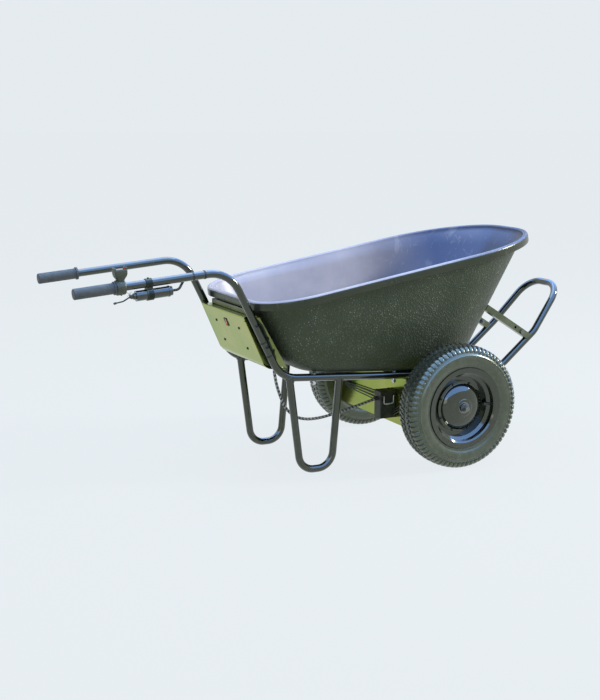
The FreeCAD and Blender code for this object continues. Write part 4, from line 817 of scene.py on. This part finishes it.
def bored(points, faces, bore_points, bore_faces):
    """A closed form with another one cut out of it."""
    objects = []
    for name, form in (("form", (points, faces)), ("bore", (bore_points, bore_faces))):
        objects.append(bpy.data.objects.new(name, made_mesh(name, *form)))
        bpy.context.scene.collection.objects.link(objects[-1])
    cut = objects[0].modifiers.new("cut", "BOOLEAN")
    cut.operation = "DIFFERENCE"
    cut.solver = "EXACT"
    cut.object = objects[1]
    bpy.context.view_layer.update()
    mesh = bpy.data.meshes.new_from_object(objects[0].evaluated_get(bpy.context.evaluated_depsgraph_get()))
    for spare in objects:
        bpy.data.objects.remove(spare)
    return [vertex.co.copy() for vertex in mesh.vertices], [tuple(face.vertices) for face in mesh.polygons]


button_bore = [rounded_ring(BUTTON_AT, BUTTON_BORE_R, BUTTON_BORE_R, BUTTON_BORE_R, up) for up in BUTTON_BORE]
housing_parts = [bored(*stack([rounded_ring(*ring) for ring in POD_RINGS]), *stack(button_bore)),
                 stack([rounded_ring(REAR_EDGE_AT, *ring) for ring in REAR_EDGE])]
for edge_side in (-FRONT_EDGE_SIDE, FRONT_EDGE_SIDE):
    housing_parts.append(stack([rounded_ring(FRONT_EDGE_AT, *ring, side=edge_side) for ring in FRONT_EDGE]))
collar_rings = [collar_ring(along, radius) for along, radius in COLLAR]
collar_count = len(collar_rings[0])
collar_points = [point for ring in collar_rings for point in ring]
collar_faces = [(a * collar_count + i, a * collar_count + (i + 1) % collar_count,
                 ((a + 1) % len(COLLAR)) * collar_count + (i + 1) % collar_count,
                 ((a + 1) % len(COLLAR)) * collar_count + i)
                for a in range(len(COLLAR)) for i in range(collar_count)]
housing_parts.append((collar_points, collar_faces))
housing_points = []
housing_faces = []
for part_points, part_faces in housing_parts:
    first = len(housing_points)
    housing_points += part_points
    housing_faces += [tuple(first + corner for corner in face) for face in part_faces]
housing_mesh = made_mesh("throttle_pod", housing_points, housing_faces, 45.0)
throttle_pod = piece_of("throttle_pod", housing_mesh, "chassis", housing_plastic)
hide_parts("throttle_housing")
dress(display_window, "throttle_display")
dress(barrel_plastic, "barrel_switch", "barrel_cap")
dress(spring_steel, "lever_spring")
dress(black_oxide, "finger_lever")
dress(bright_zinc, "box_bail")
dress(jacket, "handle_loom", "motor_leads")

# ---------------------------------------------------------------- control box
# Moulded black box on the carrier's rear face, with a screwed lid, the motor controller's board inside and
# a wire bail at its side.
board_green = plain_finish("circuit_board", (0.015, 0.14, 0.05), (0.10, 0.30, 0.12), (0.3, 0.45),
                           blotch=300.0, grain=2200.0)
dress(black_moulding, "control_box", "control_lid")
dress(board_green, "circuit_board")

# ---------------------------------------------------------------- wheels
# 3.50-8 pneumatic turf tyres on glossy black pressed rims, with a hub motor behind a domed cover. The tyre
# is moulded with close transverse lugs on each shoulder and two rows of blocks on the crown.
rubber = Finish("tyre_rubber", specular=0.9, coat=0.4, coat_roughness=0.28)
rubber_blotch = rubber.effect(BLOTCHES, Scale=16.0, Low=0.32, High=0.7)
rubber_grain = rubber.effect(BLOTCHES, Scale=700.0, Low=0.3, High=0.7)
rubber_dust = rubber.effect(BLOTCHES, Scale=70.0, Low=0.48, High=0.74)
rubber_low = rubber.effect(GROUND_DUST, Top=0.42, Amount=0.45)
rubber_rub = rubber.effect(RUB_MARKS, Scale=45.0, Amount=0.5)
rubber_colour = rubber.mixed((0.022, 0.026, 0.020), (0.036, 0.041, 0.032), rubber_blotch)
rubber_colour = rubber.mixed(rubber_colour, (0.055, 0.062, 0.048), rubber_dust)
rubber_colour = rubber.mixed(rubber_colour, (0.12, 0.12, 0.085), rubber_low)
rubber_colour = rubber.mixed(rubber_colour, (0.070, 0.078, 0.066), rubber_rub)
rubber.relief(rubber_grain, 0.00006)
tyre_rubber = rubber.set(rubber_colour, rubber.ranged(rubber_blotch, 0.24, 0.36))

AXLE_Z = (tyre_low.z + tyre_high.z) / 2
WHEEL_Y = -(tyre_low.y + tyre_high.y) / 2
# (radius, outboard) from the outer bead over the crown to the middle; the inboard half mirrors it
CARCASS = [(104.2, 27.5), (104.2, 35.6), (105.4, 37.0), (110.0, 38.2), (116.0, 38.8), (122.0, 39.4),
           (123.6, 40.6), (125.6, 40.9), (127.4, 40.4), (131.0, 42.4), (138.0, 45.2), (146.0, 46.6),
           (153.0, 46.3), (155.6, 46.0), (156.4, 46.7), (157.6, 46.6), (158.2, 45.4), (163.0, 43.2),
           (168.0, 41.2), (172.5, 38.6), (176.4, 34.4), (179.0, 29.0), (180.8, 21.0), (181.7, 11.0),
           (182.0, 0.0)]
INSIDE = [(174.0, 0.0), (171.0, 16.0), (163.0, 31.5), (150.0, 39.6), (138.0, 40.4), (126.0, 37.2),
          (114.0, 32.6)]
LATHE_STEPS = 168


def lathe(profile):
    """A closed ring about the wheel's axle from (radius, outboard) in millimetres."""
    points = []
    faces = []
    rows = len(profile)
    for i in range(LATHE_STEPS):
        turn = 2 * math.pi * i / LATHE_STEPS
        points += [Vector((r * math.cos(turn), -o, r * math.sin(turn))) * 0.001 for r, o in profile]
        j = (i + 1) % LATHE_STEPS
        faces += [(i * rows + k, i * rows + (k + 1) % rows, j * rows + (k + 1) % rows, j * rows + k)
                  for k in range(rows)]
    return points, faces


def ring_tree():
    """Copies of one piece, turned evenly about the wheel's axle."""
    tree, inside, outside = maker_tree("Ring_Of_Copies", Piece="Object", Count="Int", First_Turn="Float",
                                       Material="Material")
    new = tree.nodes.new
    spots = new("GeometryNodePoints")
    info = new("GeometryNodeObjectInfo")
    index = new("GeometryNodeInputIndex")
    full_turn = new("ShaderNodeMath")
    full_turn.operation = "DIVIDE"
    full_turn.inputs[0].default_value = 2 * math.pi
    turn = new("ShaderNodeMath")
    turn.operation = "MULTIPLY_ADD"
    about_axle = new("ShaderNodeCombineXYZ")
    copies = new("GeometryNodeInstanceOnPoints")
    real = new("GeometryNodeRealizeInstances")
    coated = new("GeometryNodeSetMaterial")
    links = tree.links
    links.new(inside.outputs["Count"], spots.inputs["Count"])
    links.new(inside.outputs["Piece"], info.inputs["Object"])
    links.new(inside.outputs["Count"], full_turn.inputs[1])
    links.new(index.outputs["Index"], turn.inputs[0])
    links.new(full_turn.outputs["Value"], turn.inputs[1])
    links.new(inside.outputs["First Turn"], turn.inputs[2])
    links.new(turn.outputs["Value"], about_axle.inputs["Y"])
    links.new(spots.outputs["Points"], copies.inputs["Points"])
    links.new(info.outputs["Geometry"], copies.inputs["Instance"])
    links.new(about_axle.outputs["Vector"], copies.inputs["Rotation"])
    links.new(copies.outputs["Instances"], real.inputs["Geometry"])
    links.new(real.outputs["Geometry"], coated.inputs["Geometry"])
    links.new(inside.outputs["Material"], coated.inputs["Material"])
    links.new(coated.outputs["Geometry"], outside.inputs["Geometry"])
    return tree


RING_OF_COPIES = ring_tree()


def lug_block(rows, base_half, top_half, lift, skew=0.0):
    """A rubber block that follows (radius, outboard) rows; it stands lift above them, with sloping sides."""
    points = []
    for k, (r, o) in enumerate(rows):
        ahead = rows[min(k + 1, len(rows) - 1)]
        behind = rows[max(k - 1, 0)]
        run = Vector((ahead[0] - behind[0], ahead[1] - behind[1])).normalized()
        normal = Vector((-run.y, run.x))
        if normal.x < 0:
            normal = -normal
        shift = skew * (k / (len(rows) - 1) - 0.5)
        end = k in (0, len(rows) - 1)
        top = 0.55 * lift if end else lift
        half = top_half * (0.86 if end else 1.0)
        for x, up in ((-base_half, -1.2), (-half, top - 0.5), (-half + 0.6, top), (half - 0.6, top),
                      (half, top - 0.5), (base_half, -1.2)):
            points.append(Vector((x + shift, -(o + normal.y * up), r + normal.x * up)) * 0.001)
    faces = []
    for k in range(len(rows) - 1):
        a = 6 * k
        faces += [(a + i, a + (i + 1) % 6, a + 6 + (i + 1) % 6, a + 6 + i) for i in range(6)]
    last = 6 * (len(rows) - 1)
    faces += [tuple(range(6)), tuple(last + i for i in reversed(range(6)))]
    return made_mesh("lug", points, faces, crease=40.0)


def ring_mesh(name, unit_mesh, count, first_turn, material):
    """One plain mesh of copies turned evenly about the wheel's axle."""
    unit = bpy.data.objects.new(name + "_unit", unit_mesh)
    values = {"Piece": unit, "Count": count, "First Turn": first_turn, "Material": material}
    mesh = grown_mesh(name, bpy.data.meshes.new(name + "_spots"), RING_OF_COPIES, values)
    bpy.data.objects.remove(unit)
    return mesh


def joined(name, meshes, mirror=False):
    """One mesh from several about the origin, carried to its wheel."""
    work = bmesh.new()
    for mesh in meshes:
        work.from_mesh(mesh)
    if mirror:
        bmesh.ops.scale(work, vec=(1, -1, 1), verts=work.verts)
        bmesh.ops.reverse_faces(work, faces=work.faces)
    side = 1 if mirror else -1
    bmesh.ops.translate(work, vec=from_axle(0, side * WHEEL_Y, AXLE_Z), verts=work.verts)
    mesh = bpy.data.meshes.new(name)
    work.to_mesh(mesh)
    work.free()
    return mesh


LUGS = 72
shoulder = [(166.0, 42.2), (170.0, 40.2), (174.2, 37.2), (177.8, 32.4), (180.0, 27.0), (181.2, 20.5)]
shoulder_in = [(r, -o) for r, o in shoulder]
crown = [(181.9, 16.0), (182.1, 11.0), (182.2, 6.0)]
crown_in = [(r, -o) for r, o in crown]
pitch = 2 * math.pi / LUGS
carcass_profile = CARCASS + [(r, -o) for r, o in reversed(CARCASS[:-1])]
carcass_profile += [(r, -o) for r, o in reversed(INSIDE)] + INSIDE[1:]
carcass_points, carcass_faces = lathe(carcass_profile)
carcass = made_mesh("carcass", carcass_points, carcass_faces, crease=48.0)
tread = [ring_mesh("shoulder_lugs", lug_block(shoulder, 6.2, 5.0, 3.4), LUGS, 0.0, tyre_rubber),
         ring_mesh("inner_lugs", lug_block(shoulder_in, 6.2, 5.0, 3.4), LUGS, pitch / 2, tyre_rubber),
         ring_mesh("crown_blocks", lug_block(crown, 6.0, 5.0, 3.2, 4.0), LUGS, pitch / 2, tyre_rubber),
         ring_mesh("inner_crown_blocks", lug_block(crown_in, 6.0, 5.0, 3.2, -4.0), LUGS, 0.0, tyre_rubber)]
wheel_paint = plain_finish("wheel_gloss_black", (0.007, 0.009, 0.006), (0.045, 0.048, 0.040), (0.05, 0.11),
                           coat=1.0, blotch=20.0, grain=300.0, depth=0.00001, marked=0.10, dust_top=0.30,
                           dust=0.20)
valve_rubber = plain_finish("valve_rubber", (0.05, 0.05, 0.05), (0.5, 0.5, 0.45), (0.3, 0.5), blotch=90.0)
magnets = zinc_finish("nickel_magnets", (0.55, 0.55, 0.56), (0.4, 0.4, 0.42), (0.2, 0.35), 150.0)
# the hub's pressed cover: a flat flange under the screws, a step, and a full glossy dome round the bearing
DOME = [(17.6, 23.2), (17.6, 34.4), (23.4, 34.4), (24.6, 34.0), (25.4, 33.2), (32.0, 32.8), (40.0, 31.6),
        (47.0, 30.0), (54.0, 27.4), (60.0, 24.0), (64.5, 20.4), (67.4, 17.0), (68.8, 14.8), (70.2, 14.0),
        (75.6, 13.8), (76.8, 13.4), (77.0, 12.4), (76.6, 12.15), (67.0, 12.15), (64.0, 16.0), (56.0, 23.0),
        (44.0, 28.4), (30.0, 30.6), (22.0, 23.2)]
dome_points, dome_faces = lathe(DOME)
dome = made_mesh("dome", dome_points, dome_faces, crease=50.0)
for side in ("right", "left"):
    cover = piece_of("hub_dome_" + side, joined("hub_dome_" + side, [dome], side == "left"), "wheel_" + side,
                     wheel_paint)
    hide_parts("hub_cover_" + side)
    tyre = piece_of("tyre_body_" + side, joined("tyre_body_" + side, [carcass] + tread, side == "left"),
                    "wheel_" + side, tyre_rubber)
    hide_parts("tyre_" + side)
    dress(wheel_paint, "rim_" + side, "hub_shell_" + side)
    dress(black_oxide, "hub_screws_" + side)
    dress(valve_rubber, "inner_tube_" + side)
    dress(magnets, "magnet_ring_" + side)
stator_finish = plain_finish("varnished_windings", (0.24, 0.09, 0.03), (0.45, 0.22, 0.08), (0.3, 0.5),
                             metallic=0.5, blotch=200.0, grain=1500.0)
dress(stator_finish, "stators")
dress(dark_zinc, "axles", "bearings", "axle_nuts")

# ---------------------------------------------------------------- floor and lights
# A pale floor and soft lights: a wide cool panel overhead, a warm key from ahead, and a weak fill. The
# floor's own glow is seen only directly and in reflections, and it leaves the object's shadow.
BACKDROP = (0.783, 0.831, 0.863, 1.0)
FLOOR_GLOW = 0.94
FLOOR_HALF = 60
FLOOR_AT = -0.0006
floor_mesh = bpy.data.meshes.new("studio_floor")
floor_corners = [(x * FLOOR_HALF, y * FLOOR_HALF, FLOOR_AT) for x, y in ((-1, -1), (1, -1), (1, 1), (-1, 1))]
floor_mesh.from_pydata(floor_corners, [], [(0, 1, 2, 3)])
studio_floor = bpy.data.objects.new("studio_floor", floor_mesh)
bpy.context.scene.collection.objects.link(studio_floor)
floor_material = bpy.data.materials.new("studio_floor")
floor_material.use_nodes = True
floor_nodes = floor_material.node_tree.nodes
floor_links = floor_material.node_tree.links
matt = floor_nodes["Principled BSDF"]
matt.inputs["Base Color"].default_value = BACKDROP
matt.inputs["Roughness"].default_value = 0.9
matt.inputs["Specular IOR Level"].default_value = 0.1
glow = floor_nodes.new("ShaderNodeEmission")
glow.inputs["Color"].default_value = BACKDROP
glow.inputs["Strength"].default_value = 1.03
seen = floor_nodes.new("ShaderNodeLightPath")
share = floor_nodes.new("ShaderNodeMath")
share.operation = "MAXIMUM"
share_scaled = floor_nodes.new("ShaderNodeMath")
share_scaled.operation = "MULTIPLY"
share_scaled.inputs[1].default_value = FLOOR_GLOW
blend_floor = floor_nodes.new("ShaderNodeMixShader")
floor_links.new(seen.outputs["Is Camera Ray"], share.inputs[0])
floor_links.new(seen.outputs["Is Glossy Ray"], share.inputs[1])
floor_links.new(share.outputs["Value"], share_scaled.inputs[0])
floor_links.new(share_scaled.outputs["Value"], blend_floor.inputs["Fac"])
floor_links.new(matt.outputs["BSDF"], blend_floor.inputs[1])
floor_links.new(glow.outputs["Emission"], blend_floor.inputs[2])
floor_links.new(blend_floor.outputs["Shader"], floor_nodes["Material Output"].inputs["Surface"])
floor_mesh.materials.append(floor_material)

world = bpy.data.worlds.new("studio")
bpy.context.scene.world = world
world.use_nodes = True
world_nodes = world.node_tree.nodes
world_links = world.node_tree.links
around_light = world_nodes["Background"]
around_light.inputs["Color"].default_value = (0.96, 0.96, 0.92, 1.0)
around_light.inputs["Strength"].default_value = 0.42
backdrop = world_nodes.new("ShaderNodeBackground")
backdrop.inputs["Color"].default_value = BACKDROP
backdrop.inputs["Strength"].default_value = 1.0
path = world_nodes.new("ShaderNodeLightPath")
either = world_nodes.new("ShaderNodeMath")
either.operation = "MAXIMUM"
any_of = world_nodes.new("ShaderNodeMath")
any_of.operation = "MAXIMUM"
pick = world_nodes.new("ShaderNodeMixShader")
world_links.new(path.outputs["Is Camera Ray"], either.inputs[0])
world_links.new(path.outputs["Is Glossy Ray"], either.inputs[1])
world_links.new(either.outputs["Value"], any_of.inputs[0])
world_links.new(path.outputs["Is Transmission Ray"], any_of.inputs[1])
world_links.new(any_of.outputs["Value"], pick.inputs["Fac"])
world_links.new(around_light.outputs["Background"], pick.inputs[1])
world_links.new(backdrop.outputs["Background"], pick.inputs[2])
world_links.new(pick.outputs["Shader"], world_nodes["World Output"].inputs["Surface"])


def panel_light(name, place, target, size, power, colour):
    """A rectangular lamp that faces its target."""
    lamp = bpy.data.lights.new(name, "AREA")
    lamp.shape = "RECTANGLE"
    lamp.size = size[0]
    lamp.size_y = size[1]
    lamp.energy = power
    lamp.color = colour
    holder = bpy.data.objects.new(name, lamp)
    holder.location = place
    holder.rotation_euler = (Vector(target) - Vector(place)).to_track_quat("-Z", "Y").to_euler()
    bpy.context.scene.collection.objects.link(holder)
    return holder


panel_light("overhead_panel", (0.0, 0.4, 3.1), (0, 0, 0.4), (3.0, 2.4), 62.0, (0.72, 0.84, 1.0))
panel_light("key_panel", (3.8, -1.3, 2.35), (0.2, 0, 0.5), (0.6, 0.6), 165.0, (1.0, 0.95, 0.86))
panel_light("fill_panel", (-2.6, -3.4, 1.4), (0, 0, 0.3), (2.0, 1.6), 14.0, (1.0, 1.0, 1.0))
# a wide blue ceiling that only shows in reflections, so that gloss reads without flooding the matt surfaces
ceiling = panel_light("reflected_ceiling", (0.3, -1.6, 3.3), (0.3, -1.6, 0.0), (12.0, 11.0), 1900.0,
                      (0.13, 0.33, 0.95))
ceiling.visible_diffuse = False

bpy.context.scene.view_settings.view_transform = "Standard"
